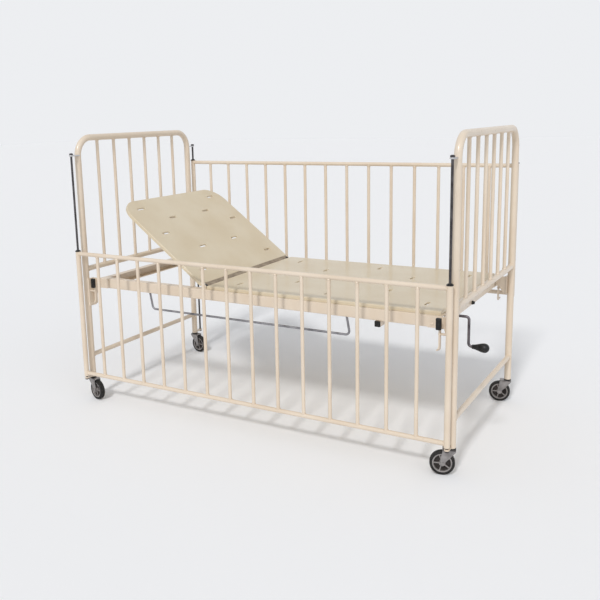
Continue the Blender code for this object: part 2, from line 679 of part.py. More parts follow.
def build_backrest():
    """Make the backrest's slotted tray and the welded frame that carries it."""
    pivot = axis_empty("backrest_axis", (HINGE_X, 0, HINGE_Z))
    low = DECK_TOP_Z - DECK_DEPTH
    tray = outline("backrest_panel", back_outline(0.0, HINGE_X - BACK_EDGE), DECK_DEPTH)
    place_mesh(tray, Matrix.Translation((0, 0, low + DECK_DEPTH / 2)))
    inner = outline("back_hollow", back_outline(DECK_SHEET, HINGE_X), 2 * DECK_DEPTH)
    place_mesh(inner, Matrix.Translation((0, 0, DECK_TOP_Z - DECK_SHEET - DECK_DEPTH)))
    rows = [HINGE_X - reach for reach in BACK_SLOT_ROWS]
    tray = cut(tray, [inner] + slot_cutters(rows, DECK_TOP_Z))
    finish(place_mesh(tray, back_turn()), DECK_PAINT, pivot)

    arm_high = DECK_TOP_Z - DECK_SHEET - SEAT_GAP
    arm_low = arm_high - BACK_ARM_DEPTH
    spreader_x = HINGE_X - BACK_ARM_LENGTH + BACK_ARM_DEPTH
    spreader_z = arm_high - BACK_ARM_DEPTH / 2
    shapes = []
    for sign in (-1, 1):
        y = sign * BACK_ARM_Y
        shapes.append(box("arm", (HINGE_X - BACK_ARM_LENGTH, y - BACK_ARM_WIDTH / 2, arm_low),
                          (HINGE_X - SLEEVE_R / 3, y + BACK_ARM_WIDTH / 2, arm_high)))
        shapes.append(cylinder("sleeve", (HINGE_X, y - SLEEVE_LENGTH / 2, HINGE_Z),
                               (HINGE_X, y + SLEEVE_LENGTH / 2, HINGE_Z), SLEEVE_R))
    spreader = cylinder("backrest_frame", (spreader_x, -BACK_ARM_Y, spreader_z),
                        (spreader_x, BACK_ARM_Y, spreader_z), BACK_SPREADER_R, 12)
    frame = place_mesh(weld(spreader, shapes), back_turn())

    lever_end = LEVER_LENGTH + LEVER_SLOT_TRAVEL
    plan = [(LEVER_HALF, -LEVER_TAPER), (LEVER_NECK_HALF, 0.0),
            (-LEVER_NECK_HALF, 0.0), (-LEVER_HALF, -LEVER_TAPER)]
    for step in range(ARC_STEPS + 1):
        angle = math.pi * (1 + step / ARC_STEPS)
        plan.append((LEVER_HALF * math.cos(angle), LEVER_HALF * math.sin(angle) - lever_end))
    lever = outline("lever", plan, LEVER_WALL)
    place_mesh(lever, Matrix.Translation((HINGE_X, CRANK_Y, HINGE_Z)) @ along_plate())
    slot_high = HINGE_Z - LEVER_LENGTH + LEVER_SLOT_HALF
    slot_length = LEVER_SLOT_TRAVEL + 2 * LEVER_SLOT_HALF
    slot = outline("lever_slot", obround(slot_length, 2 * LEVER_SLOT_HALF), 2 * LEVER_WALL)
    slot_place = Matrix.Translation((HINGE_X, CRANK_Y, slot_high - slot_length / 2))
    place_mesh(slot, slot_place @ along_plate())
    bore = cylinder("sleeve_bore", (HINGE_X, -HALF_Y, HINGE_Z), (HINGE_X, HALF_Y, HINGE_Z),
                    HINGE_ROD_R + RUN_GAP)
    frame = cut(weld(frame, [lever]), [bore, slot])
    finish(frame, PAINT, pivot)

    rod_reach = hinge_ear_y() + EAR_WIDTH
    rod = cylinder("hinge_rod", (HINGE_X, -rod_reach, HINGE_Z), (HINGE_X, rod_reach, HINGE_Z), HINGE_ROD_R)
    finish(rod, STEEL)


def build_crank():
    """Make the crank, its turning grip, the lead screw and the nut with its push arm."""
    axis = axis_empty("crank_axis", (CRANK_ARM_X, CRANK_Y, CRANK_Z))
    low_z = CRANK_Z - CRANK_DROP
    grip_x = CRANK_ARM_X + CRANK_PIN_LENGTH
    pin_end_x = grip_x + GRIP_LENGTH - GRIP_R
    path = rounded_path([(SCREW_COUPLING_X + SEAT_GAP, CRANK_Y, CRANK_Z), (CRANK_ARM_X, CRANK_Y, CRANK_Z),
                         (CRANK_ARM_X, CRANK_Y, low_z), (pin_end_x, CRANK_Y, low_z)], CRANK_BEND, 4)
    finish(tube("crank_handle", path, CRANK_ROD_R, 3), STEEL, axis)

    screw = cylinder("lead_screw", (SCREW_HEAD_X, CRANK_Y, CRANK_Z),
                     (SCREW_COUPLING_X, CRANK_Y, CRANK_Z), SCREW_R, 12)
    finish(screw, ZINC, axis)

    bore = CRANK_ROD_R + RUN_GAP
    belly = GRIP_LENGTH - GRIP_R
    profile = []
    for step in range(GRIP_STEPS + 1):
        angle = math.pi / 2 * step / GRIP_STEPS
        profile.append((GRIP_R * math.sin(angle), belly + GRIP_R * math.cos(angle)))
    for step in range(1, GRIP_STEPS + 1):
        share = step / GRIP_STEPS
        ease = (1 + math.cos(math.pi * share)) / 2
        profile.append((GRIP_NECK_R + (GRIP_R - GRIP_NECK_R) * ease, belly * (1 - share)))
    profile += [(bore, 0.0), (bore, belly + RUN_GAP), (0.0, belly + RUN_GAP)]
    grip_axis = axis_empty("grip_axis", (grip_x, CRANK_Y, low_z))
    place = Matrix.Translation((grip_x, CRANK_Y, low_z)) @ Matrix.Rotation(math.pi / 2, 4, "Y")
    finish(turned("crank_grip", profile, 16, place), BLACK, grip_axis)

    half = BEARING_SIDE / 2
    block_low = (CROSS_TUBE_X - BEARING_LENGTH / 2, CRANK_Y - half, CHANNEL_LOW_Z + SEAT_GAP)
    block_high = (CROSS_TUBE_X + BEARING_LENGTH / 2, CRANK_Y + half, CRANK_Z + half)
    bearing = box("screw_bearing", block_low, block_high)
    hole = cylinder("bearing_hole", (CROSS_TUBE_X - BEARING_LENGTH, CRANK_Y, CRANK_Z),
                    (CROSS_TUBE_X + BEARING_LENGTH, CRANK_Y, CRANK_Z), SCREW_R + RUN_GAP)
    finish(cut(bearing, [hole]), ZINC)

    half = NUT_SIDE / 2
    nut = box("screw_nut", (NUT_X - NUT_LENGTH / 2, CRANK_Y - half, CRANK_Z - half),
              (NUT_X + NUT_LENGTH / 2, CRANK_Y + half, CRANK_Z + half))
    hole = cylinder("nut_hole", (NUT_X - NUT_LENGTH, CRANK_Y, CRANK_Z),
                    (NUT_X + NUT_LENGTH, CRANK_Y, CRANK_Z), SCREW_R + RUN_GAP)
    finish(cut(nut, [hole]), ZINC)

    arm_y = CRANK_Y + half + SEAT_GAP + PUSH_ARM_WALL / 2
    start = Vector((HINGE_X, HINGE_Z - LEVER_LENGTH))
    end = Vector((NUT_X, CRANK_Z))
    run = end - start
    arm = outline("push_arm", obround(run.length + 2 * PUSH_ARM_HALF, 2 * PUSH_ARM_HALF), PUSH_ARM_WALL)
    middle = (start + end) / 2
    lean = Matrix.Rotation(math.atan2(run.y, run.x) - math.pi / 2, 4, "Z")
    place_mesh(arm, Matrix.Translation((middle.x, arm_y, middle.y)) @ along_plate() @ lean)
    pin_end = CRANK_Y - LEVER_WALL
    pin = cylinder("push_pin", (start.x, arm_y, start.y), (start.x, pin_end, start.y), PUSH_PIN_R, 12)
    finish(weld(arm, [pin]), ZINC)


def build_bag_rail():
    """Bend the thin rail that hangs under the front channel."""
    top = CHANNEL_LOW_Z - SEAT_GAP
    over = top + 2 * BAG_RAIL_R
    corners = [(BAG_RAIL_HEAD_X - BAG_RAIL_LEAN, BAG_RAIL_Y, over), (BAG_RAIL_HEAD_X, BAG_RAIL_Y, BAG_RAIL_Z),
               (BAG_RAIL_FOOT_X, BAG_RAIL_Y, BAG_RAIL_Z), (BAG_RAIL_FOOT_X - BAG_RAIL_LEAN, BAG_RAIL_Y, over)]
    rail = tube("bag_rail", rounded_path(corners, BAG_RAIL_BEND, 4), BAG_RAIL_R, 2)
    trim = box("rail_trim", (-HALF_X, -HALF_Y, top), (HALF_X, HALF_Y, over + BAG_RAIL_R))
    finish(cut(rail, [trim]), STEEL)


def build_side(side):
    """Weld a drop side and fit its guide rods and the bushes on its uprights."""
    sign = SIDES[side]
    y = sign * SIDE_Y
    lift = SIDE_TRAVEL if side == "rear" else 0.0
    top_z = SIDE_TOP_Z + lift
    bottom_z = SIDE_BOTTOM_Z + lift
    upright_top = top_z + SIDE_RAIL_R
    upright_low = bottom_z - UPRIGHT_FOOT
    name = side + "_side"
    frame = cylinder(name, (-UPRIGHT_X, y, top_z), (UPRIGHT_X, y, top_z), SIDE_RAIL_R, 12)
    shapes = [cylinder("low_rail", (-UPRIGHT_X, y, bottom_z), (UPRIGHT_X, y, bottom_z), SIDE_RAIL_R, 12)]
    pitch = 2 * UPRIGHT_X / (SIDE_BARS + 1)
    for index in range(1, SIDE_BARS + 1):
        x = -UPRIGHT_X + index * pitch
        shapes.append(cylinder("bar_%d" % index, (x, y, bottom_z), (x, y, top_z), SIDE_BAR_R, 8))
    bores = []
    for end, along in ENDS.items():
        x = along * UPRIGHT_X
        shapes.append(cylinder("upright_" + end, (x, y, upright_low), (x, y, upright_top), SIDE_UPRIGHT_R))
        bores.append(cylinder("bore_" + end, (x, y, upright_low - UPRIGHT_FOOT),
                              (x, y, upright_top + UPRIGHT_FOOT), ROD_R + RUN_GAP, 12))
    slide = axis_empty(side + "_slide", (0, y, bottom_z))
    finish(cut(weld(frame, shapes), bores), PAINT, slide)
    for end, along in ENDS.items():
        x = along * UPRIGHT_X
        low = upright_top + SEAT_GAP
        bush = cylinder("%s_%s_bush" % (side, end), (x, y, low), (x, y, low + BUSH_HEIGHT), BUSH_R)
        hole_low = (x, y, low - BUSH_HEIGHT)
        hole_high = (x, y, low + 2 * BUSH_HEIGHT)
        hole = cylinder("bush_hole", hole_low, hole_high, ROD_R + RUN_GAP)
        finish(cut(bush, [hole]), BLACK, slide)
        seat = LUG_TOP_Z + LUG_WALL / 2 + SEAT_GAP
        foot_seat = LUG_FOOT_Z - LUG_WALL / 2 - SEAT_GAP
        rod = cylinder("%s_%s_rod" % (side, end), (x, y, foot_seat - FOOT_NUT_HEIGHT / 2),
                       (x, y, seat + NUT_HEIGHT / 2), ROD_R, 12)
        nut = cylinder("rod_nut", (x, y, seat), (x, y, seat + NUT_HEIGHT), NUT_R, 6)
        foot_nut = cylinder("foot_nut", (x, y, foot_seat - FOOT_NUT_HEIGHT), (x, y, foot_seat), NUT_R, 6)
        finish(weld(rod, [nut, foot_nut]), STEEL)


def build_catch(end, side):
    """Make a drop-side catch: a pivoted flat lever with a toe, and its black grip."""
    along = ENDS[end]
    sign = SIDES[side]
    name = "%s_%s_catch" % (side, end)
    x = along * CATCH_X
    pivot = axis_empty(name + "_axis", (x, sign * CATCH_Y, CATCH_PIVOT_Z))
    back = sign * (CATCH_Y - CATCH_HALF)
    front = sign * (CATCH_Y + CATCH_HALF)
    tip = sign * CATCH_TOE_Y
    top = CATCH_GRIP_LOW_Z + CATCH_GRIP_HEIGHT - CATCH_HALF
    toe_low = CATCH_TOE_Z - CATCH_HALF
    heel = sign * (CATCH_Y - CATCH_HALF / 3)
    throat = sign * (CATCH_Y + 2 * CATCH_HALF)
    shape = [(back, top), (back, toe_low + CATCH_HALF / 2), (heel, toe_low), (front, toe_low),
             (tip, CATCH_TOE_Z - CATCH_HALF / 3), (tip, CATCH_TOE_Z), (throat, CATCH_TOE_Z),
             (front, CATCH_TOE_Z + CATCH_HALF), (front, top)]
    lever = outline(name, shape, CATCH_WALL)
    place_mesh(lever, Matrix.Translation((x, 0, 0)) @ across_plate())
    hole = cylinder(name + "_hole", (x - CATCH_WALL, sign * CATCH_Y, CATCH_PIVOT_Z),
                    (x + CATCH_WALL, sign * CATCH_Y, CATCH_PIVOT_Z), CATCH_PIN_R + RUN_GAP)
    finish(cut(lever, [hole]), PAINT, pivot)

    near = sign * (CATCH_Y + CATCH_HALF + SEAT_GAP)
    far = sign * (CATCH_Y + CATCH_HALF + SEAT_GAP + CATCH_GRIP_DEPTH)
    half = CATCH_GRIP_WIDTH / 2
    grip = box(name + "_grip", (x - half, min(near, far), CATCH_GRIP_LOW_Z),
               (x + half, max(near, far), CATCH_GRIP_LOW_Z + CATCH_GRIP_HEIGHT))
    soften = grip.modifiers.new("soften", "BEVEL")
    soften.width = CATCH_GRIP_DEPTH / 4
    soften.segments = 2
    finish(mesh_from(grip), BLACK, pivot)


def build_castor(end, side):
    """Make a swivel castor: fixed seat, turning fork with its axle, hub and tyre."""
    corner = "%s_%s" % (side, end)
    post = Vector((ENDS[end] * HALF_X, SIDES[side] * HALF_Y, 0))
    heading = math.radians(CASTOR_HEADINGS[corner])
    place = Matrix.Translation(post) @ Matrix.Rotation(heading, 4, "Z")
    seat_high = POST_FOOT_Z - SEAT_GAP
    seat_low = seat_high - CASTOR_SEAT
    seat = cylinder(corner + "_castor_seat", (0, 0, seat_low), (0, 0, seat_high), CASTOR_SEAT_R)
    stem_low = (0, 0, seat_low + CASTOR_SEAT / 2)
    stem = cylinder("stem", stem_low, (0, 0, POST_FOOT_Z + CASTOR_STEM), CASTOR_STEM_R)
    finish(place_mesh(weld(seat, [stem]), Matrix.Translation(post)), BLACK)

    swivel = axis_empty(corner + "_swivel_axis", post)
    half = FORK_INNER / 2
    crown_high = seat_low - SEAT_GAP
    crown_low = 2 * WHEEL_R + FORK_CROWN_GAP
    boss_r = 2 * AXLE_R
    axle = Vector((CASTOR_TRAIL, 0, WHEEL_R))
    crown = box(corner + "_castor_fork", (-CASTOR_SEAT_R, -half - FORK_WALL, crown_low),
                (CASTOR_TRAIL, half + FORK_WALL, crown_high))
    plan = [(-CASTOR_SEAT_R, crown_high), (-CASTOR_SEAT_R, crown_low - FORK_WALL)]
    for step in range(ARC_STEPS + 1):
        angle = FORK_ROUND_START + FORK_ROUND_SWEEP * step / ARC_STEPS
        plan.append((axle.x + boss_r * math.cos(angle), axle.z + boss_r * math.sin(angle)))
    plan.append((CASTOR_TRAIL, crown_low - FORK_WALL))
    plan.append((CASTOR_TRAIL, crown_high))
    shapes = []
    for sign in (-1, 1):
        cheek = outline("cheek", plan, FORK_WALL)
        beside = Matrix.Translation((0, sign * (half + FORK_WALL / 2), 0))
        shapes.append(place_mesh(cheek, beside @ along_plate()))
    reach = half + 2 * FORK_WALL
    shapes.append(cylinder("axle", (axle.x, -reach, axle.z), (axle.x, reach, axle.z), AXLE_R, 12))
    finish(place_mesh(weld(crown, shapes), place), ZINC, swivel)

    spin = axis_empty(corner + "_wheel_axis", place @ axle)
    flat = WHEEL_R / math.cos(math.pi / WHEEL_STEPS)
    inner = WHEEL_R - TYRE_DEPTH
    side_half = TYRE_WIDTH / 2
    soft = TYRE_DEPTH / 3
    wheel_place = place @ Matrix.Translation(axle) @ Matrix.Rotation(math.pi / 2, 4, "X")
    wheel_place = wheel_place @ Matrix.Rotation(math.pi / WHEEL_STEPS, 4, "Z")
    profile = [(flat - soft, side_half), (flat, side_half - soft), (flat, soft - side_half),
               (flat - soft, -side_half), (inner, -side_half), (inner, side_half)]
    finish(turned(corner + "_tyre", profile, WHEEL_STEPS, wheel_place), RUBBER, spin)

    rim = inner - SEAT_GAP
    rim_half = HUB_WIDTH / 2
    rim_inner = rim - HUB_RIM
    web_half = HUB_WEB / 2
    boss_half = half - RUN_GAP
    profile = [(rim, rim_half), (rim, -rim_half), (rim_inner, -rim_half), (rim_inner, -web_half),
               (HUB_BOSS_R, -web_half), (HUB_BOSS_R, -boss_half), (HUB_BORE, -boss_half),
               (HUB_BORE, boss_half), (HUB_BOSS_R, boss_half), (HUB_BOSS_R, web_half),
               (rim_inner, web_half), (rim_inner, rim_half)]
    hub = turned(corner + "_hub", profile, WHEEL_STEPS, Matrix.Identity(4))
    ribs = []
    rib_half = rim_half - HUB_RIB_SINK
    for index in range(HUB_RIBS):
        rib = box("rib_%d" % index, (HUB_BOSS_R - HUB_RIB_SINK, -HUB_RIB_WIDTH / 2, -rib_half),
                  (rim_inner + HUB_RIB_SINK, HUB_RIB_WIDTH / 2, rib_half))
        ribs.append(place_mesh(rib, Matrix.Rotation(2 * math.pi * index / HUB_RIBS, 4, "Z")))
    finish(place_mesh(weld(hub, ribs), wheel_place), ZINC, spin)


def stand_over_origin():
    """Move the bed along so that the middle of its whole length is over the origin."""
    for item in PARTS.objects:
        if item.parent is None:
            item.location.x -= MIDDLE_X


clear_scene()
PARTS = new_collection("hospital_bed")
for end_name in ENDS:
    build_hoop(end_name)
    build_grille(end_name)
    build_stretcher(end_name)
    build_end_channel(end_name)
for side_name in SIDES:
    build_side_channel(side_name)
    build_side(side_name)
build_cross_tube()
build_deck()
build_backrest()
build_crank()
build_bag_rail()
for end_name in ENDS:
    for side_name in SIDES:
        build_catch(end_name, side_name)
        build_castor(end_name, side_name)
stand_over_origin()
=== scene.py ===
"""Looks of a child's hospital bed with drop sides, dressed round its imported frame.

Metres, +Z up. The foot end is at +X and the front side at -Y. The floor is z = 0.
"""
import json
import math

import bpy
from mathutils import Matrix, Vector


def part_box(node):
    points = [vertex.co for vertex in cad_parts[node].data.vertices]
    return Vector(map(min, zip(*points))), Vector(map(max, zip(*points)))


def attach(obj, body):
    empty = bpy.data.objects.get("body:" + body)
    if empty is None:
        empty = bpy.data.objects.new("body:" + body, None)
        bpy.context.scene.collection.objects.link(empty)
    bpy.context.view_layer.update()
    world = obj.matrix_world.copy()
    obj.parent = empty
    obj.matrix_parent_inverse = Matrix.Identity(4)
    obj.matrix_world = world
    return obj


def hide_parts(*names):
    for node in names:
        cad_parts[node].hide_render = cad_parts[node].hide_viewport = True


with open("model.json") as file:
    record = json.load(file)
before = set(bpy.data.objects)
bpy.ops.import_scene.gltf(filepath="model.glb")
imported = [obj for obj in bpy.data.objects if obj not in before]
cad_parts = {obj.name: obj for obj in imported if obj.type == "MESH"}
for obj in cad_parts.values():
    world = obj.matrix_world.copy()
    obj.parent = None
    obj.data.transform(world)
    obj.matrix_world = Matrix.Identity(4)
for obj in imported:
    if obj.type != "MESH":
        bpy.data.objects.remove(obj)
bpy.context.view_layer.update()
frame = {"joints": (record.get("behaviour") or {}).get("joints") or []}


# Camera at the photograph's viewpoint
# A little above the bed's height, off the front and the foot end, looking slightly down.
# The shift puts the bed where the photograph's frame has it.
CAMERA_PLACE = Vector((1.40179, -2.60233, 1.13863))
CAMERA_YAW = math.radians(120.9395)
CAMERA_PITCH = math.radians(-10.8406)
CAMERA_ROLL = math.radians(-1.4787)
CAMERA_LENS = 46.016
CAMERA_SENSOR = 36.0
CAMERA_SHIFT_X = 0.05691
CAMERA_SHIFT_Y = -0.06289
UPWARD = Vector((0, 0, 1))

ahead = Vector((math.cos(CAMERA_PITCH) * math.cos(CAMERA_YAW),
                math.cos(CAMERA_PITCH) * math.sin(CAMERA_YAW), math.sin(CAMERA_PITCH)))
right = ahead.cross(UPWARD).normalized()
up = right.cross(ahead)
tilted_right = right * math.cos(CAMERA_ROLL) + up * math.sin(CAMERA_ROLL)
tilted_up = up * math.cos(CAMERA_ROLL) - right * math.sin(CAMERA_ROLL)
bpy.ops.object.camera_add(location=CAMERA_PLACE)
camera = bpy.context.object
camera.rotation_euler = Matrix((tilted_right, tilted_up, -ahead)).transposed().to_euler()
camera.data.lens = CAMERA_LENS
camera.data.sensor_width = CAMERA_SENSOR
camera.data.shift_x = CAMERA_SHIFT_X
camera.data.shift_y = CAMERA_SHIFT_Y
bpy.context.scene.camera = camera


# Cream enamel
# The tubes and channels are stove-enamelled: a thick cream coat with a faint orange-peel
# skin, a slow drift of tone from one run of tube to the next, and a soft gloss.
CREAM_LIGHT = (0.755, 0.645, 0.52, 1.0)
CREAM_DEEP = (0.705, 0.585, 0.455, 1.0)
CREAM_ROUGHNESS = 0.30
ENAMEL_DRIFT = 7.0           # slow changes of tone per metre
ENAMEL_RUB = 60.0            # rubbed patches per metre
ENAMEL_RUB_SPREAD = 0.14     # how far they change the roughness
ENAMEL_PEEL = 420.0          # orange-peel cells per metre
MIX_FIRST = 6                # a Mix node's sockets for colours
MIX_SECOND = 7
MIX_RESULT = 2


class Wire:
    """A shader value that is written in sums and products."""

    def __init__(self, shading, socket):
        self.shading = shading
        self.socket = socket

    def worked(self, operation, other):
        return self.shading.node("ShaderNodeMath", {"operation": operation}, {0: self, 1: other})

    def __add__(self, other):
        return self.worked("ADD", other)

    def __mul__(self, other):
        return self.worked("MULTIPLY", other)

    __radd__ = __add__
    __rmul__ = __mul__


class Shading:
    """A node tree, to which a node is added with its settings and sockets in one call."""

    def __init__(self, owner):
        owner.use_nodes = True
        self.tree = owner.node_tree

    def node(self, kind, settings, sockets, output=0):
        made = self.tree.nodes.new(kind)
        for setting, value in settings.items():
            setattr(made, setting, value)
        for socket, value in sockets.items():
            self.feed(made.inputs[socket], value)
        return Wire(self, made.outputs[output])

    def feed(self, socket, value):
        if isinstance(value, Wire):
            self.tree.links.new(value.socket, socket)
        else:
            socket.default_value = value


class Finish(Shading):
    """A finish on one Principled shader, for one of the frame's material slots."""

    def __init__(self, name, slot, **constants):
        self.material = bpy.data.materials.new(name)
        self.slot = slot
        super().__init__(self.material)
        self.shade(**constants)

    def shade(self, **values):
        shader = self.tree.nodes["Principled BSDF"]
        for socket, value in values.items():
            self.feed(shader.inputs[socket.replace("_", " ")], value)

    def noise(self, scale, detail=2.0):
        place = self.node("ShaderNodeTexCoord", {}, {}, "Object")
        return self.node("ShaderNodeTexNoise", {}, {"Vector": place, "Scale": scale, "Detail": detail})

    def clouds(self, scale, detail, low, high):
        value = self.noise(scale, detail)
        return self.node("ShaderNodeMapRange", {}, {"Value": value, "From Min": low, "From Max": high})

    def blend(self, share, first, second):
        sockets = {"Factor": share, MIX_FIRST: first, MIX_SECOND: second}
        return self.node("ShaderNodeMix", {"data_type": "RGBA"}, sockets, MIX_RESULT)

    def bump(self, height, strength, depth):
        return self.node("ShaderNodeBump", {}, {"Height": height, "Strength": strength, "Distance": depth})


def enamel(name, slot, light, deep, roughness):
    """Make a stove enamel of two close tones."""
    paint = Finish(name, slot, Coat_Weight=0.25, Coat_Roughness=0.12)
    drift = paint.clouds(ENAMEL_DRIFT, detail=3.0, low=0.35, high=0.65)
    rub = paint.noise(ENAMEL_RUB, detail=4.0)
    peel = paint.noise(ENAMEL_PEEL, detail=1.0)
    paint.shade(Base_Color=paint.blend(drift, light, deep),
                Roughness=rub * ENAMEL_RUB_SPREAD + (roughness - ENAMEL_RUB_SPREAD / 2),
                Normal=paint.bump(peel, strength=0.10, depth=0.0006))
    return paint


cream_enamel = enamel("cream_enamel", "cream_paint", CREAM_LIGHT, CREAM_DEEP, CREAM_ROUGHNESS)


# End hoops
# Each bed end is one length of 25 mm steel tube, bent twice at the top and standing on the
# castors. The ring is pulled along the straight runs and swung round the bends.
HOOP_R = 0.0127
HOOP_SIDES = 28
HOOP_BEND = 0.072
HOOP_TOP_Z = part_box("head_hoop")[1].z - HOOP_R
POST_FOOT_Z = 0.0925
POST_Y = 0.360
END_X = {"head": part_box("head_hoop")[0].x + HOOP_R, "foot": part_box("foot_hoop")[1].x - HOOP_R}
HOOP_STEPS = 12
BEND_STEPS = 8
BAR_SIDES = 16
SMOOTH_ANGLE = math.radians(40)
MERGE_GAP = 0.000005


def chosen(item):
    """Make a piece the only one that is selected."""
    bpy.ops.object.select_all(action="DESELECT")
    bpy.context.view_layer.objects.active = item
    item.select_set(True)


def settle(item):
    """Put a piece's place, turn and size into its mesh."""
    chosen(item)
    bpy.ops.object.transform_apply(location=True, rotation=True, scale=True)
    return item


def placed(item, place, axis=UPWARD, own_axis=UPWARD):
    """Carry a piece from the origin to its place, its own axis along the given one."""
    item.rotation_euler = own_axis.rotation_difference(axis).to_euler()
    item.location = place
    return settle(item)


def started(primitive, **settings):
    """Add a primitive with nothing else selected."""
    bpy.ops.object.select_all(action="DESELECT")
    primitive(**settings)
    return bpy.context.object


def ring(name, place, heading, radius, sides):
    """Start a tube: a filled ring across a heading, open for editing with its face selected."""
    disc = started(bpy.ops.mesh.primitive_circle_add, vertices=sides, radius=radius, fill_type="NGON")
    item = placed(disc, place, heading)
    item.name = name
    bpy.ops.object.mode_set(mode="EDIT")
    bpy.ops.mesh.select_mode(type="FACE")
    bpy.ops.mesh.select_all(action="SELECT")
    return item


def pull(*move):
    """Extrude what is selected along a straight line."""
    bpy.ops.mesh.extrude_region_move(TRANSFORM_OT_translate={"value": move})


def close_edit(item):
    """Merge doubles, turn the faces outwards and leave edit mode."""
    bpy.ops.mesh.select_all(action="SELECT")
    bpy.ops.mesh.remove_doubles(threshold=MERGE_GAP)
    bpy.ops.mesh.normals_make_consistent(inside=False)
    bpy.ops.object.mode_set(mode="OBJECT")
    return item


def bent_rod(name, route, radius, bend, sides=BAR_SIDES, steps=BEND_STEPS):
    """Bend a tube or rod: straight runs with a round bend at every inner corner."""
    corners = [Vector(corner) for corner in route]
    at = corners[0]
    item = ring(name, at, corners[1] - at, radius, sides)
    for before, corner, after in zip(corners, corners[1:], corners[2:]):
        back = (before - corner).normalized()
        onward = (after - corner).normalized()
        half = back.angle(onward) / 2
        tangent = bend / math.tan(half)
        pull(*(corner + back * tangent - at))
        centre = corner + (back + onward).normalized() * bend / math.sin(half)
        bpy.ops.mesh.spin(steps=steps, angle=math.pi - 2 * half, center=centre, axis=back.cross(onward))
        at = corner + onward * tangent
    pull(*(corners[-1] - at))
    return close_edit(item)


def modified(item, kind, **settings):
    """Give a piece a modifier with these settings and apply it."""
    modifier = item.modifiers.new(kind.lower(), kind)
    for setting, value in settings.items():
        setattr(modifier, setting, value)
    chosen(item)
    bpy.ops.object.modifier_apply(modifier=modifier.name)
    return item


def finished(item, look, body, *nodes):
    """Give a piece its finish and seat it on its body, in place of its CAD nodes."""
    chosen(item)
    bpy.ops.object.shade_smooth_by_angle(angle=SMOOTH_ANGLE)
    modified(item, "WEIGHTED_NORMAL", keep_sharp=True)
    item.data.materials.clear()
    item.data.materials.append(look.material)
    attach(item, body)
    if nodes:
        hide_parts(*nodes)


for end, x in END_X.items():
    route = [(x, -POST_Y, POST_FOOT_Z), (x, -POST_Y, HOOP_TOP_Z), (x, POST_Y, HOOP_TOP_Z),
             (x, POST_Y, POST_FOOT_Z)]
    hoop = bent_rod(end + "_end_hoop", route, HOOP_R, HOOP_BEND, HOOP_SIDES, HOOP_STEPS)
    finished(hoop, cream_enamel, "bed_frame", end + "_hoop")


# End grilles
# Six upright bars stand between each hoop's top run and a level cross tube. Every bar is
# welded at both ends, and the enamel rounds off the small bead of weld.
GRILLE_BARS = 6
GRILLE_PITCH = 0.0987
GRILLE_BAR_R = 0.0064
GRILLE_CROSS_R = 0.0110
GRILLE_CROSS_Z = 0.546
TUBE_SIDES = 20
RIM_EASE = 0.0006
BEAD_R = 0.0019
BEAD_ROUGH = 0.0003
BEAD_SEED = 3
SAME = 1e-5                  # places this near each other are one
PICK_MODES = {"polygons": "FACE", "edges": "EDGE", "vertices": "VERT"}


def edit(item):
    """Open one piece in edit mode with nothing selected."""
    chosen(item)
    bpy.ops.object.mode_set(mode="EDIT")
    bpy.ops.mesh.select_all(action="DESELECT")


def pick(item, wanted, kind="polygons"):
    """Select the faces, edges or points of the piece in edit mode that a test picks out."""
    bpy.ops.mesh.select_mode(type=PICK_MODES[kind])
    bpy.ops.mesh.select_all(action="DESELECT")
    bpy.ops.object.mode_set(mode="OBJECT")
    points = item.data.vertices
    for part in getattr(item.data, kind):
        if kind == "polygons":
            part.select = wanted(part.normal)
        elif kind == "edges":
            part.select = wanted(*[points[index].co for index in part.vertices])
        else:
            part.select = wanted(part.co)
    bpy.ops.object.mode_set(mode="EDIT")


def round_edges(item, wanted, width, segments):
    """Bevel the edges of the open piece that a test picks out."""
    pick(item, wanted, "edges")
    bpy.ops.mesh.bevel(offset=width, segments=segments)


def straight_tube(name, start, end, radius, sides=TUBE_SIDES):
    """Draw a straight tube with eased rims."""
    run = Vector(end) - Vector(start)
    along = run.normalized()
    item = ring(name, start, run, radius, sides)
    pull(*run)

    def on_rim(first, second):
        near = [min(abs(along.dot(point - Vector(rim))) for rim in (start, end)) < SAME
                for point in (first, second)]
        return all(near) and abs(along.dot(first - second)) < SAME

    round_edges(item, on_rim, RIM_EASE, segments=2)
    return close_edit(item)


def weld_bead(place, axis, radius):
    """Lay a slightly uneven ring of weld round a bar where it meets a tube."""
    item = started(bpy.ops.mesh.primitive_torus_add, major_radius=radius, minor_radius=BEAD_R,
                   major_segments=16, minor_segments=6)
    edit(item)
    bpy.ops.mesh.select_all(action="SELECT")
    bpy.ops.transform.vertex_random(offset=BEAD_ROUGH, seed=BEAD_SEED)
    bpy.ops.object.mode_set(mode="OBJECT")
    return placed(item, place, axis)


def joined(name, items):
    """Join several meshes into one piece."""
    chosen(items[0])
    for item in items:
        item.select_set(True)
    bpy.ops.object.join()
    items[0].name = name
    return items[0]


def welded_bar(name, start, end, radius, reach_low, reach_high, sides=BAR_SIDES):
    """Draw a bar between two tubes' middles, with a bead where it enters each tube."""
    along = (Vector(end) - Vector(start)).normalized()
    bar = straight_tube(name, start, end, radius, sides)
    beads = [weld_bead(Vector(start) + along * reach_low, along, radius),
             weld_bead(Vector(end) - along * reach_high, along, radius)]
    return joined(name, [bar] + beads)


def repeated(item, count, step):
    """Set out equal copies of a piece in a row."""
    return modified(item, "ARRAY", count=count, use_relative_offset=False, use_constant_offset=True,
                    constant_offset_displace=step)


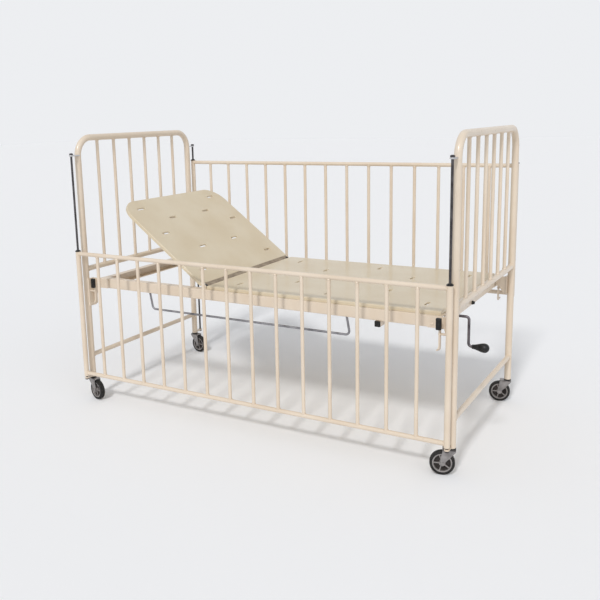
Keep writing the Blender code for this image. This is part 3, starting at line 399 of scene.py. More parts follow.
for end, x in END_X.items():
    first_y = -GRILLE_PITCH * (GRILLE_BARS - 1) / 2
    bar = welded_bar("bar", (x, first_y, GRILLE_CROSS_Z), (x, first_y, HOOP_TOP_Z), GRILLE_BAR_R,
                     GRILLE_CROSS_R, HOOP_R)
    bars = repeated(bar, GRILLE_BARS, (0, GRILLE_PITCH, 0))
    cross = welded_bar("cross", (x, -POST_Y, GRILLE_CROSS_Z), (x, POST_Y, GRILLE_CROSS_Z),
                       GRILLE_CROSS_R, HOOP_R, HOOP_R, TUBE_SIDES)
    finished(joined(end + "_end_grille", [cross, bars]), cream_enamel, "bed_frame", end + "_grille")


# Stretchers
# A thinner tube ties the two posts of each end together just above the castors, welded and
# enamelled like the grilles.
STRETCHER_R = 0.0095
STRETCHER_Z = 0.184
for end, x in END_X.items():
    tie = welded_bar(end + "_end_stretcher", (x, -POST_Y, STRETCHER_Z), (x, POST_Y, STRETCHER_Z),
                     STRETCHER_R, HOOP_R, HOOP_R, TUBE_SIDES)
    finished(tie, cream_enamel, "bed_frame", end + "_stretcher")


# Rod lugs
# Flat steel lugs welded to each post hold the guide rods of the drop sides, one near the top
# bend and one at the foot. The upper ones are bare bright metal.
SIDE_Y = 0.400
INWARD = {"head": 1, "foot": -1}
UPRIGHT_INSET = 0.004
UPRIGHT_X = {end: x + INWARD[end] * UPRIGHT_INSET for end, x in END_X.items()}
SIDES = {"front": -1, "rear": 1}
CORNERS = [("%s_%s" % (side, end), end, side, SIDES[side]) for end in END_X for side in SIDES]
LUG_TOP_Z = 1.003
LUG_FOOT_Z = 0.0985
LUG_WALL = 0.005
LUG_R = 0.0085
EDGE_EASE = 0.0006
FULL_ROUND = 0.98            # share of the half width at which a bevel makes a round end
SHARP_ANGLE = math.radians(50)
ZINC_LIGHT = (0.70, 0.70, 0.70, 1.0)
ZINC_DARK = (0.46, 0.46, 0.48, 1.0)
ZINC_SPREAD = 0.22


def zinc(name, light, dark, roughness):
    """Make plated steel with a cloudy spangle and fine handling marks."""
    plate = Finish(name, "zinc_plate", Metallic=0.9)
    spangle = plate.clouds(55.0, detail=4.0, low=0.3, high=0.7)
    marks = plate.noise(340.0)
    plate.shade(Base_Color=plate.blend(spangle, light, dark),
                Roughness=marks * ZINC_SPREAD + roughness,
                Normal=plate.bump(marks, strength=0.12, depth=0.0004))
    return plate


def block(name, low, high):
    """Start from a cube between two corners, open for editing."""
    low = Vector(low)
    high = Vector(high)
    item = started(bpy.ops.mesh.primitive_cube_add, size=1.0, location=(low + high) / 2)
    item.name = name
    item.scale = [abs(length) for length in high - low]
    settle(item)
    edit(item)
    return item


def soften(item, width=EDGE_EASE, segments=2, angle=SHARP_ANGLE):
    """Ease every sharp edge of a finished shape."""
    return modified(item, "BEVEL", width=width, segments=segments, limit_method="ANGLE", angle_limit=angle)


def upright_edge(first, second):
    """Tell an edge that runs up and down."""
    return (first - second).xy.length < SAME


def round_off(item, wanted, half_width, steps=8):
    """Round an end of the open piece over its whole width."""
    round_edges(item, wanted, half_width * FULL_ROUND, steps)


def rod_lug(name, end, sign, z):
    """Cut a lug with a round outer end."""
    x = UPRIGHT_X[end]
    item = block(name, (x - LUG_R, sign * POST_Y, z - LUG_WALL / 2),
                 (x + LUG_R, sign * (SIDE_Y + LUG_R), z + LUG_WALL / 2))

    def outer_corner(first, second):
        return upright_edge(first, second) and sign * first.y > SIDE_Y

    round_off(item, outer_corner, LUG_R)
    return soften(close_edit(item))


bright_zinc = zinc("bright_zinc", ZINC_LIGHT, ZINC_DARK, roughness=0.24)
for corner, end, side, sign in CORNERS:
    finished(rod_lug(corner + "_top_lug", end, sign, LUG_TOP_Z), bright_zinc, "bed_frame")
    finished(rod_lug(corner + "_foot_lug", end, sign, LUG_FOOT_Z), cream_enamel, "bed_frame")


# Corner brackets
# A folded steel angle joins each side channel to its post. It is welded to the post, bolted
# to the channel with a domed bolt, and carries the pivot pin of the drop side's catch.
CHANNEL_FACE_Y = 0.334
CHANNEL_TOP_Z = 0.508
CHANNEL_LOW_Z = 0.469
SEAT_GAP = 0.0003
BRACKET_WALL = 0.005
BRACKET_LENGTH = 0.085
BRACKET_CUT = 0.006
BRACKET_LOW_Z = {"front": 0.395, "rear": 0.439}    # the rear ones end higher
BRACKET_EASE = 0.0008
GUSSET_WIDTH = 0.026
GUSSET_TIP = 0.008
BOLT_R = 0.0052
BOLT_RISE = 0.62             # of its radius
BOLT_REACH = 0.066           # from the post's face along the channel
BOLT_HEIGHT = 0.012          # above the channel's lower edge
WASHER_WALL = 0.0009
WASHER_R = 1.25 * BOLT_R
PIN_R = 0.0040
PIN_PAST = 0.0045            # past the catch's middle
ALONG = Vector((1, 0, 0))
ACROSS = Vector((0, 1, 0))
PLACE = {joint["name"]: Vector(joint["pos_m"]) for joint in frame["joints"] if "pos_m" in joint}


def outline_line(points):
    """Draw a line of points, started from a plane that is merged to one point."""
    item = started(bpy.ops.mesh.primitive_plane_add)
    edit(item)
    bpy.ops.mesh.select_mode(type="VERT")
    bpy.ops.mesh.select_all(action="SELECT")
    bpy.ops.mesh.merge(type="CENTER")
    bpy.ops.transform.translate(value=points[0])
    for before, after in zip(points, points[1:]):
        pull(*(Vector(after) - Vector(before)))
    bpy.ops.mesh.select_all(action="SELECT")
    return item


def cut_plate(name, points, thickness):
    """Cut a flat plate from an outline of points and give it a thickness."""
    item = outline_line(points)
    item.name = name
    bpy.ops.mesh.edge_face_add()
    pull(*thickness)
    return close_edit(item)


def lathe(name, profile, steps=32):
    """Turn a profile of (radius, height) points round the Z axis."""
    item = outline_line([(radius, 0.0, height) for radius, height in profile])
    item.name = name
    bpy.ops.mesh.spin(steps=steps, angle=2 * math.pi, center=(0, 0, 0), axis=UPWARD)
    return close_edit(item)


def dome(radius, rise, base, steps):
    """List the (radius, height) points of a dome from its top to its rim."""
    angles = [math.pi / 2 * step / steps for step in range(steps + 1)]
    return [(radius * math.sin(angle), base + rise * math.cos(angle)) for angle in angles]


def dome_bolt(place, axis):
    """Turn a low domed bolt head with a thin washer under it."""
    profile = dome(BOLT_R, BOLT_R * BOLT_RISE - WASHER_WALL, WASHER_WALL, steps=5)
    profile += [(WASHER_R, WASHER_WALL), (WASHER_R, 0.0), (0.0, 0.0)]
    return placed(lathe("bolt", profile, steps=20), place, axis)


for corner, end, side, sign in CORNERS:
    inward = INWARD[end]
    post_face = END_X[end] + inward * HOOP_R
    near_y = sign * (CHANNEL_FACE_Y + SEAT_GAP)
    far_y = near_y + sign * BRACKET_WALL
    foot_z = BRACKET_LOW_Z[side]
    shape = [(0, CHANNEL_TOP_Z), (BRACKET_LENGTH - BRACKET_CUT, CHANNEL_TOP_Z),
             (BRACKET_LENGTH, CHANNEL_TOP_Z - BRACKET_CUT), (BRACKET_LENGTH, CHANNEL_LOW_Z + BRACKET_CUT),
             (BRACKET_LENGTH - BRACKET_CUT, CHANNEL_LOW_Z), (GUSSET_WIDTH, CHANNEL_LOW_Z),
             (GUSSET_TIP, foot_z), (0, foot_z)]
    points = [(post_face + inward * reach, near_y, z) for reach, z in shape]
    flat = cut_plate("flat", points, ACROSS * sign * BRACKET_WALL)
    leg = block("leg", (post_face - inward * HOOP_R / 4, near_y, foot_z),
                (post_face + inward * BRACKET_WALL, sign * (POST_Y + HOOP_R / 2), CHANNEL_TOP_Z))
    angle = soften(joined(corner + "_bracket", [flat, close_edit(leg)]), BRACKET_EASE)
    bolt_place = (post_face + inward * BOLT_REACH, far_y, CHANNEL_LOW_Z + BOLT_HEIGHT)
    bolt = dome_bolt(bolt_place, ACROSS * sign)
    pivot = PLACE["catch_pivot_" + corner]
    pin = straight_tube("pin", (post_face + inward * BRACKET_WALL / 2, pivot.y, pivot.z),
                        (pivot.x + inward * PIN_PAST, pivot.y, pivot.z), PIN_R)
    finished(joined(angle.name, [angle, pin, bolt]), cream_enamel, "bed_frame")


# Bed frame channels
# The frame under the platform is four lengths of steel sheet folded to a channel, its open
# side inwards. The long ones carry the ears of the hinge rod.
CHANNEL_WALL = 0.0025
CHANNEL_FLANGE = 0.030
CHANNEL_EASE = 0.0005
FOLD_R = 0.0030
FACING = 0.9                 # least share of a way that a face or an edge follows
EAR_R = 0.0100
EAR_WIDTH = 0.005
EAR_Y = CHANNEL_FACE_Y - 0.015
SHAFT_HOLE_R = 0.0071
DRILL_PAST = 0.012
DRILL_SIDES = 24
HINGE = PLACE["backrest_hinge"]
CRANK = PLACE["crank_turn"]


def across_edge(first, second):
    """Tell an edge that runs across the bed."""
    return abs(first.y - second.y) > SAME


def facing(*ways):
    """Make a test for the faces that look one of these ways."""
    return lambda normal: max(normal.dot(way) for way in ways) > FACING


def folded_sheet(item, opened, wall):
    """Take the open faces off the piece in edit mode and give the rest a wall."""
    pick(item, opened)
    bpy.ops.mesh.delete(type="FACE")
    bpy.ops.object.mode_set(mode="OBJECT")
    return modified(item, "SOLIDIFY", thickness=wall, offset=-1)


def folded_channel(name, low, high, open_way, run):
    """Fold a channel: a block with rounded long edges, opened on its inner side and its ends."""
    item = block(name, low, high)
    middle = (Vector(low) + Vector(high)) / 2

    def outer_fold(first, second):
        along = abs((first - second).normalized().dot(run)) > FACING
        return along and open_way.dot((first + second) / 2 - middle) < 0

    round_edges(item, outer_fold, FOLD_R, segments=4)
    return soften(folded_sheet(item, facing(open_way, run, -run), CHANNEL_WALL), CHANNEL_EASE)


def hinge_ear(sign):
    """Cut the upright ear that holds the hinge rod's end."""
    y = sign * EAR_Y
    item = block("ear", (HINGE.x - EAR_R, y - EAR_WIDTH / 2, CHANNEL_TOP_Z - CHANNEL_WALL / 2),
                 (HINGE.x + EAR_R, y + EAR_WIDTH / 2, HINGE.z + EAR_R))

    def crown(first, second):
        return across_edge(first, second) and first.z > HINGE.z

    round_off(item, crown, EAR_R)
    return soften(close_edit(item))


def cut_out(item, tool):
    """Cut one shape out of a piece and clear the shape away."""
    modified(item, "BOOLEAN", operation="DIFFERENCE", solver="EXACT", object=tool)
    bpy.data.objects.remove(tool)
    return item


def drilled(item, start, end, radius):
    """Drill a straight hole through a piece."""
    return cut_out(item, straight_tube("drill", start, end, radius, DRILL_SIDES))


def on_screw(x):
    """Give a place on the line of the crank's shaft and the lead screw."""
    return (x, CRANK.y, CRANK.z)


for side, sign in SIDES.items():
    low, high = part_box(side + "_channel")
    channel = folded_channel(side + "_side_channel", (low.x, sign * CHANNEL_FACE_Y, CHANNEL_LOW_Z),
                             (high.x, sign * (CHANNEL_FACE_Y - CHANNEL_FLANGE), CHANNEL_TOP_Z),
                             ACROSS * -sign, ALONG)
    finished(joined(channel.name, [channel, hinge_ear(sign)]), cream_enamel, "bed_frame", side + "_channel")
for end, inward in INWARD.items():
    low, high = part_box(end + "_end_channel")
    channel = folded_channel(end + "_frame_channel", low, high, ALONG * inward, ACROSS)
    if end == "foot":
        drilled(channel, on_screw(high.x - DRILL_PAST), on_screw(high.x + DRILL_PAST), SHAFT_HOLE_R)
    finished(channel, cream_enamel, "bed_frame", end + "_end_channel")


# Screw cross tube
# A square tube crosses under the channels and carries the lead screw's bearing. Its open
# ends are shut with black push-in caps, and a like plug sits in the foot end channel.
BLACK_DEEP = (0.008, 0.008, 0.008, 1.0)
BLACK_WORN = (0.026, 0.025, 0.024, 1.0)
BLACK_ROUGHNESS = 0.36
BLACK_SPREAD = 0.2
TUBE_CORNER = 0.0025
TUBE_WALL = 0.0016
TUBE_MOUTH = 0.012
CAP_RIM = 0.0022
CAP_RISE = 0.0004
CAP_EASE = 0.0005
# The plug from its inner end out, in shares of its radius and its length
PLUG_SHAPE = ((0, 0), (1, 0), (1, 0.3), (0.97, 0.4), (0.82, 0.5), (0.78, 0.9), (0.66, 1), (0, 1))
black_plastic = Finish("black_plastic", "black_plastic", Specular_IOR_Level=0.35)
dust = black_plastic.clouds(90.0, detail=3.0, low=0.45, high=0.75)
grain = black_plastic.noise(1400.0, detail=1.0)
black_plastic.shade(Base_Color=black_plastic.blend(dust, BLACK_DEEP, BLACK_WORN),
                    Roughness=dust * BLACK_SPREAD + BLACK_ROUGHNESS,
                    Normal=black_plastic.bump(grain, strength=0.2, depth=0.0003))
cross_tube = block("square_cross_tube", *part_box("screw_cross_tube"))
round_edges(cross_tube, across_edge, TUBE_CORNER, segments=4)
pick(cross_tube, facing(ACROSS, -ACROSS))
bpy.ops.mesh.inset(thickness=TUBE_WALL)
bpy.ops.mesh.extrude_region_shrink_fatten(TRANSFORM_OT_shrink_fatten={"value": -TUBE_MOUTH})
finished(close_edit(cross_tube), cream_enamel, "bed_frame", "screw_cross_tube")
for side, sign in SIDES.items():
    cap = block(side + "_end_cap", *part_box(side + "_tube_cap"))
    round_edges(cap, across_edge, TUBE_CORNER, segments=4)
    pick(cap, facing(ACROSS * sign))
    bpy.ops.mesh.inset(thickness=CAP_RIM)
    bpy.ops.transform.translate(value=(0, sign * CAP_RISE, 0))
    finished(soften(close_edit(cap), CAP_EASE), black_plastic, "bed_frame", side + "_tube_cap")
low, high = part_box("foot_plug")
plug_r = (high.z - low.z) / 2
plug_length = high.x - low.x
plug_profile = [(plug_r * out, plug_length * along) for out, along in PLUG_SHAPE]
plug = lathe("end_channel_plug", plug_profile, steps=28)
finished(placed(plug, (low.x, 0, (low.z + high.z) / 2), ALONG), black_plastic, "bed_frame", "foot_plug")


# Fixed platform
# The mattress lies on a tray of pressed steel sheet, folded down all round and enamelled in
# a warmer beige. Punched slots in staggered rows let the mattress breathe.
BEIGE_LIGHT = (0.69, 0.595, 0.435, 1.0)
BEIGE_DEEP = (0.645, 0.54, 0.375, 1.0)
BEIGE_ROUGHNESS = 0.40
SHEET = 0.0016
TRAY_FOLD = 0.0028
SLOT_LENGTH = 0.046
SLOT_WIDTH = 0.011
SLOT_OUTER_Y = 0.240
SLOT_INNER_Y = 0.115
SLOT_RIM = 0.0007
SLOT_SLACK = 0.0005
DECK_SLOT_FIRST = 0.110      # from the hinge
DECK_SLOT_LAST = 0.073       # from the foot edge
DECK_SLOT_ROWS = 5
PUNCH_PAST = 0.010
LIP_DEPTH = 0.0065
LIP_WALL = 0.0008
platform_enamel = enamel("platform_enamel", "platform_paint", BEIGE_LIGHT, BEIGE_DEEP, BEIGE_ROUGHNESS)


def slot_places(rows):
    """List the middles of a staggered field of slots from each row's place along the bed."""
    places = []
    for index, row_x in enumerate(rows):
        reach = SLOT_OUTER_Y if index % 2 == 0 else SLOT_INNER_Y
        places += [Vector((row_x, -reach, 0)), Vector((row_x, reach, 0))]
    return places


def slot_block(place, low_z, high_z):
    """Shape one slot as a block with round ends."""
    reach = Vector((SLOT_WIDTH / 2, SLOT_LENGTH / 2, 0))
    item = block("slot", place - reach + UPWARD * low_z, place + reach + UPWARD * high_z)
    round_off(item, upright_edge, SLOT_WIDTH / 2, steps=7)
    return item


def slot_lip(place, top_z):
    """Fold the slot's edge down to a short lip."""
    item = slot_block(place, top_z - LIP_DEPTH, top_z - SLOT_RIM)
    return folded_sheet(item, facing(UPWARD, -UPWARD), LIP_WALL)


def punch_slots(item, places, top_z):
    """Punch long slots with round ends through a flat sheet, ease their rims and fold lips."""
    for place in places:
        cut_out(item, close_edit(slot_block(place, top_z - PUNCH_PAST, top_z + PUNCH_PAST)))
    edit(item)

    def slot_rim(first, second):
        middle = (first + second) / 2
        on_top = max(abs(first.z - top_z), abs(second.z - top_z)) < SAME
        return on_top and any(abs(middle.x - place.x) < SLOT_WIDTH / 2 + SLOT_SLACK
                              and abs(middle.y - place.y) < SLOT_LENGTH / 2 + SLOT_SLACK
                              for place in places)

    round_edges(item, slot_rim, SLOT_RIM, segments=2)
    bpy.ops.object.mode_set(mode="OBJECT")
    return joined(item.name, [item] + [slot_lip(place, top_z) for place in places])


def pressed_tray(name, low, high, open_way, corner_test=None, corner_r=0.0):
    """Press a tray from sheet: rounded corners and folds, open below and on one chosen side."""
    item = block(name, low, high)
    if corner_test:
        round_edges(item, corner_test, corner_r, segments=16)
    round_edges(item, lambda first, second: min(first.z, second.z) > high.z - SAME, TRAY_FOLD, segments=4)
    return folded_sheet(item, facing(-UPWARD, open_way), SHEET)


deck_low, deck_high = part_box("fixed_deck")
deck_first = HINGE.x + DECK_SLOT_FIRST
deck_pitch = (deck_high.x - DECK_SLOT_LAST - deck_first) / (DECK_SLOT_ROWS - 1)
deck_rows = [deck_first + deck_pitch * index for index in range(DECK_SLOT_ROWS)]
deck = pressed_tray("fixed_platform", deck_low, deck_high, -UPWARD)
deck = punch_slots(deck, slot_places(deck_rows), deck_high.z)
finished(deck, platform_enamel, "bed_frame", "fixed_deck")


# Hinge rod
# A dark steel rod through the two ears is the backrest's axle. A black collar beside each ear
# keeps it from sliding.
COLLAR_R = 0.0092
COLLAR_LENGTH = 0.013
STEEL_LIGHT = (0.20, 0.18, 0.195, 1.0)
STEEL_DARK = (0.075, 0.068, 0.075, 1.0)
STEEL_SPREAD = 0.25


def oiled_steel(name, light, dark, roughness):
    """Make dark bare steel: oil clouds, fine pits and a dull shine."""
    steel = Finish(name, "dark_steel", Metallic=0.85)
    oil = steel.clouds(38.0, detail=4.0, low=0.3, high=0.7)
    pits = steel.noise(520.0, detail=3.0)
    steel.shade(Base_Color=steel.blend(oil, light, dark),
                Roughness=pits * STEEL_SPREAD + roughness,
                Normal=steel.bump(pits, strength=0.15, depth=0.0004))
    return steel


def bored_sleeve(name, start, end, radius, bore):
    """Turn a sleeve with a clear bore and eased rims."""
    run = Vector(end) - Vector(start)
    length = run.length
    profile = [(bore, 0), (radius - RIM_EASE, 0), (radius, RIM_EASE), (radius, length - RIM_EASE),
               (radius - RIM_EASE, length), (bore, length), (bore, 0)]
    return placed(lathe(name, profile, steps=28), start, run)


def hinge_sleeve(name, start_y, end_y, radius, gap):
    """Turn a sleeve over the hinge rod."""
    return bored_sleeve(name, (HINGE.x, start_y, HINGE.z), (HINGE.x, end_y, HINGE.z), radius,
                        HINGE_ROD_R + gap)


dark_steel = oiled_steel("dark_steel", STEEL_LIGHT, STEEL_DARK, roughness=0.26)
low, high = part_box("hinge_rod")
HINGE_ROD_R = (high.z - low.z) / 2
axle = straight_tube("backrest_axle", (HINGE.x, low.y, HINGE.z), (HINGE.x, high.y, HINGE.z), HINGE_ROD_R)
finished(axle, dark_steel, "bed_frame", "hinge_rod")
collar_start = EAR_Y - EAR_WIDTH / 2 - SEAT_GAP
collar_end = collar_start - COLLAR_LENGTH
for side, sign in SIDES.items():
    collar = hinge_sleeve(side + "_hinge_collar", sign * collar_start, sign * collar_end, COLLAR_R, SEAT_GAP)
    finished(collar, black_plastic, "bed_frame")


# Backrest panel
# The raised head part is a tray like the platform's, with two wide round corners at the top
# and its lower edge left unfolded so that it clears the hinge.
BACK_ANGLE = math.radians(37)
BACK_EDGE = 0.0125
BACK_LENGTH = 0.492
BACK_CORNER = 0.085
BACK_SLOT_ROWS = (0.074, 0.184, 0.292, 0.366, 0.442)


def raised(item):
    """Swing a piece that was made flat up to the backrest's angle."""
    pivot = Matrix.Translation(HINGE)
    item.matrix_world = pivot @ Matrix.Rotation(BACK_ANGLE, 4, "Y") @ pivot.inverted()
    return settle(item)


def head_corner(first, second):
    """Tell the upright edges at the panel's head end."""
    return upright_edge(first, second) and first.x < HINGE.x - BACK_CORNER


back_low = Vector((HINGE.x - BACK_LENGTH, deck_low.y, deck_low.z))
back_high = Vector((HINGE.x - BACK_EDGE, deck_high.y, deck_high.z))
panel = pressed_tray("backrest_tray", back_low, back_high, ALONG, head_corner, BACK_CORNER)
panel = punch_slots(panel, slot_places([HINGE.x - reach for reach in BACK_SLOT_ROWS]), deck_high.z)
finished(raised(panel), platform_enamel, "backrest", "backrest_panel")


# Backrest frame
# Two flat bars under the panel, welded to the hinge sleeves and tied by a round spreader. A
# slotted lever hangs from the hinge tube, where the push arm works it.
ARM_Y = 0.265
ARM_WIDTH = 0.006
ARM_DEPTH = 0.024
ARM_LENGTH = 0.400
ARM_TIP_R = 0.012
ARM_EASE = 0.0008
SLEEVE_R = 0.0085
SPREADER_R = 0.0080
LEVER_WALL = 0.0080
LEVER_HALF = 0.0105
LEVER_NECK_HALF = 0.0050
LEVER_TAPER = 0.024
LEVER_TOP_GAP = 0.0012       # below the rod
LEVER_LENGTH = 0.036
LEVER_SLOT_HALF = 0.0060
LEVER_SLOT_TRAVEL = 0.0095
arm_top = deck_high.z - SHEET - SEAT_GAP
arm_middle = arm_top - ARM_DEPTH / 2


def arm_tip(first, second):
    """Tell the lower edge at the head end of an arm."""
    at_tip = first.x < HINGE.x - ARM_LENGTH / 2 and first.z < arm_middle
    return at_tip and across_edge(first, second)


frame_bars = []
for sign in SIDES.values():
    y = sign * ARM_Y
    arm = block("arm", (HINGE.x - ARM_LENGTH, y - ARM_WIDTH / 2, arm_top - ARM_DEPTH),
                (HINGE.x - SLEEVE_R / 3 - HINGE_ROD_R, y + ARM_WIDTH / 2, arm_top))
    round_edges(arm, arm_tip, ARM_TIP_R, segments=6)
    frame_bars.append(soften(close_edit(arm), ARM_EASE))
spreader_x = HINGE.x - ARM_LENGTH + ARM_DEPTH
frame_bars.append(welded_bar("spreader", (spreader_x, -ARM_Y, arm_middle), (spreader_x, ARM_Y, arm_middle),
                             SPREADER_R, ARM_WIDTH / 2, ARM_WIDTH / 2))
back_frame = raised(joined("backrest_bars", frame_bars))

lever_low = HINGE.z - LEVER_LENGTH - LEVER_SLOT_TRAVEL - LEVER_HALF
lever = block("lever", (HINGE.x - LEVER_HALF, CRANK.y - LEVER_WALL / 2, lever_low),
              (HINGE.x + LEVER_HALF, CRANK.y + LEVER_WALL / 2, HINGE.z - LEVER_TAPER))
round_off(lever, lambda first, second: across_edge(first, second) and first.z < lever_low + SAME, LEVER_HALF)
pick(lever, facing(UPWARD))
pull(0, 0, LEVER_TAPER - HINGE_ROD_R - LEVER_TOP_GAP)
bpy.ops.transform.resize(value=(LEVER_NECK_HALF / LEVER_HALF, 1, 1), center_override=HINGE)
close_edit(lever)
slot_top = HINGE.z - LEVER_LENGTH + LEVER_SLOT_HALF
slot_low = slot_top - LEVER_SLOT_TRAVEL - 2 * LEVER_SLOT_HALF
punch = block("punch", (HINGE.x - LEVER_SLOT_HALF, CRANK.y - LEVER_WALL, slot_low),
              (HINGE.x + LEVER_SLOT_HALF, CRANK.y + LEVER_WALL, slot_top))
round_off(punch, across_edge, LEVER_SLOT_HALF)
cut_out(lever, close_edit(punch))
back_frame = joined("backrest_bars", [back_frame, soften(lever)])
finished(back_frame, cream_enamel, "backrest", "backrest_frame")


# Hinge sleeves
# The arms of the backrest's frame end in two sleeves that turn on the rod. Bare steel tubes
# cover the rest of it, and a strip of the same steel joins them to the panel's edge. Their dark
# brown is painted shade: it stands for the shadow in the gap along the hinge line.
HINGE_SHADE_LIGHT = (0.44, 0.36, 0.27, 1.0)
HINGE_SHADE_DARK = (0.27, 0.215, 0.16, 1.0)
SLEEVE_LENGTH = 0.030
HINGE_TUBE_R = 0.0074
RUN_GAP = 0.0006             # round a piece that turns or slides
LEAF_STOP = 0.0015
LEAF_EASE = 0.0004
# Sleeves, tubes and leaf share one bare steel finish whose dark brown is painted shade for the shadowed
# hinge gap.
browned_steel = oiled_steel("browned_steel", HINGE_SHADE_LIGHT, HINGE_SHADE_DARK, roughness=0.45)
sleeve_inner = ARM_Y - SLEEVE_LENGTH / 2
sleeve_outer = ARM_Y + SLEEVE_LENGTH / 2
tube_inner = sleeve_inner - SEAT_GAP
tube_outer = sleeve_outer + SEAT_GAP
tube_end = collar_end - SEAT_GAP
sleeves = [hinge_sleeve("sleeve", start_y, end_y, radius, RUN_GAP) for start_y, end_y, radius in (
    (-sleeve_outer, -sleeve_inner, SLEEVE_R), (sleeve_inner, sleeve_outer, SLEEVE_R),
    (-tube_end, -tube_outer, HINGE_TUBE_R), (-tube_inner, tube_inner, HINGE_TUBE_R),
    (tube_outer, tube_end, HINGE_TUBE_R))]
finished(joined("hinge_sleeves", sleeves), browned_steel, "backrest")
# The leaf fills the gap to the panel's edge; its brown is painted shade, so the gap reads as a shadowed
# line.
leaf = block("hinge_leaf", (HINGE.x - BACK_EDGE - SEAT_GAP, -tube_end, deck_high.z - SHEET),
             (HINGE.x - LEAF_STOP, tube_end, deck_high.z - SEAT_GAP))
finished(raised(soften(close_edit(leaf), LEAF_EASE)), browned_steel, "backrest")


# Hinge gutter
# A folded strip of sheet, welded under the platform's head edge, closes the gap below the
# hinge. It stops short of the two arms, which swing there.
GUTTER_REACH = 0.011         # past the hinge axis
GUTTER_DROP = 0.0105         # below the hinge axis
GUTTER_HALF_Y = ARM_Y - 0.020
GUTTER_EASE = 0.0004
gutter_top = HINGE.z - GUTTER_DROP
gutter_tip = HINGE.x - GUTTER_REACH
fold = [(deck_low.x, deck_low.z), (deck_low.x + SHEET, deck_low.z), (deck_low.x + SHEET, gutter_top - SHEET),
        (gutter_tip, gutter_top - SHEET), (gutter_tip, gutter_top), (deck_low.x, gutter_top)]
gutter = cut_plate("hinge_gutter", [(x, -GUTTER_HALF_Y, z) for x, z in fold], (0, 2 * GUTTER_HALF_Y, 0))
finished(soften(gutter, GUTTER_EASE), platform_enamel, "bed_frame")


# Crank
# The crank is one dark steel rod, bent twice: its shaft goes in under the foot end and its
# lower end is the pin of a loose black grip shaped like a pear.
CRANK_ROD_R = 0.0045
CRANK_BEND = 0.010
GRIP = PLACE["grip_spin"]
GRIP_LENGTH = 0.054
GRIP_R = 0.0150
GRIP_NECK_R = 0.0070
GRIP_DOME_STEPS = 12
GRIP_NECK_STEPS = 16
belly = GRIP_LENGTH - GRIP_R
route = [on_screw(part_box("crank_handle")[0].x), on_screw(CRANK.x), (CRANK.x, CRANK.y, GRIP.z),
         (GRIP.x + belly, CRANK.y, GRIP.z)]
handle = bent_rod("crank_rod", route, CRANK_ROD_R, CRANK_BEND, TUBE_SIDES)
finished(handle, dark_steel, "crank", "crank_handle")

bore = CRANK_ROD_R + RUN_GAP
pear = dome(GRIP_R, GRIP_R, belly, GRIP_DOME_STEPS)
for step in range(1, GRIP_NECK_STEPS + 1):
    share = step / GRIP_NECK_STEPS
    swell = (1 + math.cos(math.pi * share)) / 2
    pear.append((GRIP_NECK_R + (GRIP_R - GRIP_NECK_R) * swell, belly * (1 - share)))
pear += [(bore, 0.0), (bore, belly + RUN_GAP), (0.0, belly + RUN_GAP)]
finished(placed(lathe("crank_knob", pear, steps=40), GRIP, ALONG), black_plastic, "grip", "crank_grip")


# Lead screw
# The crank turns a long plated screw with a two-start thread. Its section has two rounded
# crests and is twisted along the rod.
SCREW_R = 0.0065
SCREW_ROOT = 0.0050
SCREW_LEAD = 0.006
SCREW_STARTS = 2
SCREW_STEP = 0.0005
PLAIN_END = 0.070
low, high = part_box("lead_screw")
thread_length = high.x - low.x - PLAIN_END
thread_steps = int(thread_length / SCREW_STEP)
thread = ring("thread", (0, 0, 0), ALONG, SCREW_R, TUBE_SIDES)
bpy.ops.mesh.delete(type="ONLY_FACE")
bpy.ops.object.mode_set(mode="OBJECT")
for point in thread.data.vertices:
    crest = (1 + math.cos(SCREW_STARTS * math.atan2(point.co.z, point.co.y))) / 2
    point.co *= (SCREW_ROOT + (SCREW_R - SCREW_ROOT) * crest) / SCREW_R
modified(thread, "SCREW", axis="X", angle=2 * math.pi * thread_length / SCREW_LEAD,
         screw_offset=thread_length, steps=thread_steps, render_steps=thread_steps,
         use_normal_calculate=True)
edit(thread)
pick(thread, lambda point: min(point.x, thread_length - point.x) < SAME, "vertices")
bpy.ops.mesh.edge_face_add()
placed(close_edit(thread), on_screw(low.x))
shank = straight_tube("shank", on_screw(high.x - PLAIN_END), on_screw(high.x), SCREW_R)
finished(joined("threaded_screw", [thread, shank]), bright_zinc, "crank", "lead_screw")


# Screw bearing, nut and push arm
# A block on the cross tube holds the screw. A square nut runs along it and carries a flat arm
# with a riveted pin that pushes the backrest's lever.
BLOCK_EASE = 0.0012
PUSH_ARM_HALF = 0.0080
PUSH_ARM_WALL = 0.005
PUSH_PIN_R = 0.0040
for name, body, node in (("bearing_block", "bed_frame", "screw_bearing"),
                         ("travelling_nut", "push_carriage", "screw_nut")):
    low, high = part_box(node)
    milled = soften(close_edit(block(name, low, high)), BLOCK_EASE, segments=3)
    drilled(milled, on_screw(low.x - DRILL_PAST), on_screw(high.x + DRILL_PAST), SCREW_R + RUN_GAP)
    finished(milled, bright_zinc, body, node)

nut_low, nut_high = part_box("screw_nut")
low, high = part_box("push_arm")
arm_near = nut_high.y + SEAT_GAP
pin_place = Vector((HINGE.x, arm_near, HINGE.z - LEVER_LENGTH))
nut_place = Vector(((nut_low.x + nut_high.x) / 2, arm_near, CRANK.z))
reach = nut_place - pin_place
push = block("push_link", (-PUSH_ARM_HALF, 0, -PUSH_ARM_HALF),
             (reach.length + PUSH_ARM_HALF, PUSH_ARM_WALL, PUSH_ARM_HALF))
round_off(push, across_edge, PUSH_ARM_HALF)
placed(soften(close_edit(push)), pin_place, reach, ALONG)
rivet = straight_tube("rivet", (pin_place.x, low.y, pin_place.z), (pin_place.x, high.y, pin_place.z),
                      PUSH_PIN_R)
bolt = dome_bolt((nut_place.x, arm_near + PUSH_ARM_WALL, nut_place.z), ACROSS)
finished(joined("push_link", [push, rivet, bolt]), bright_zinc, "push_carriage", "push_arm")


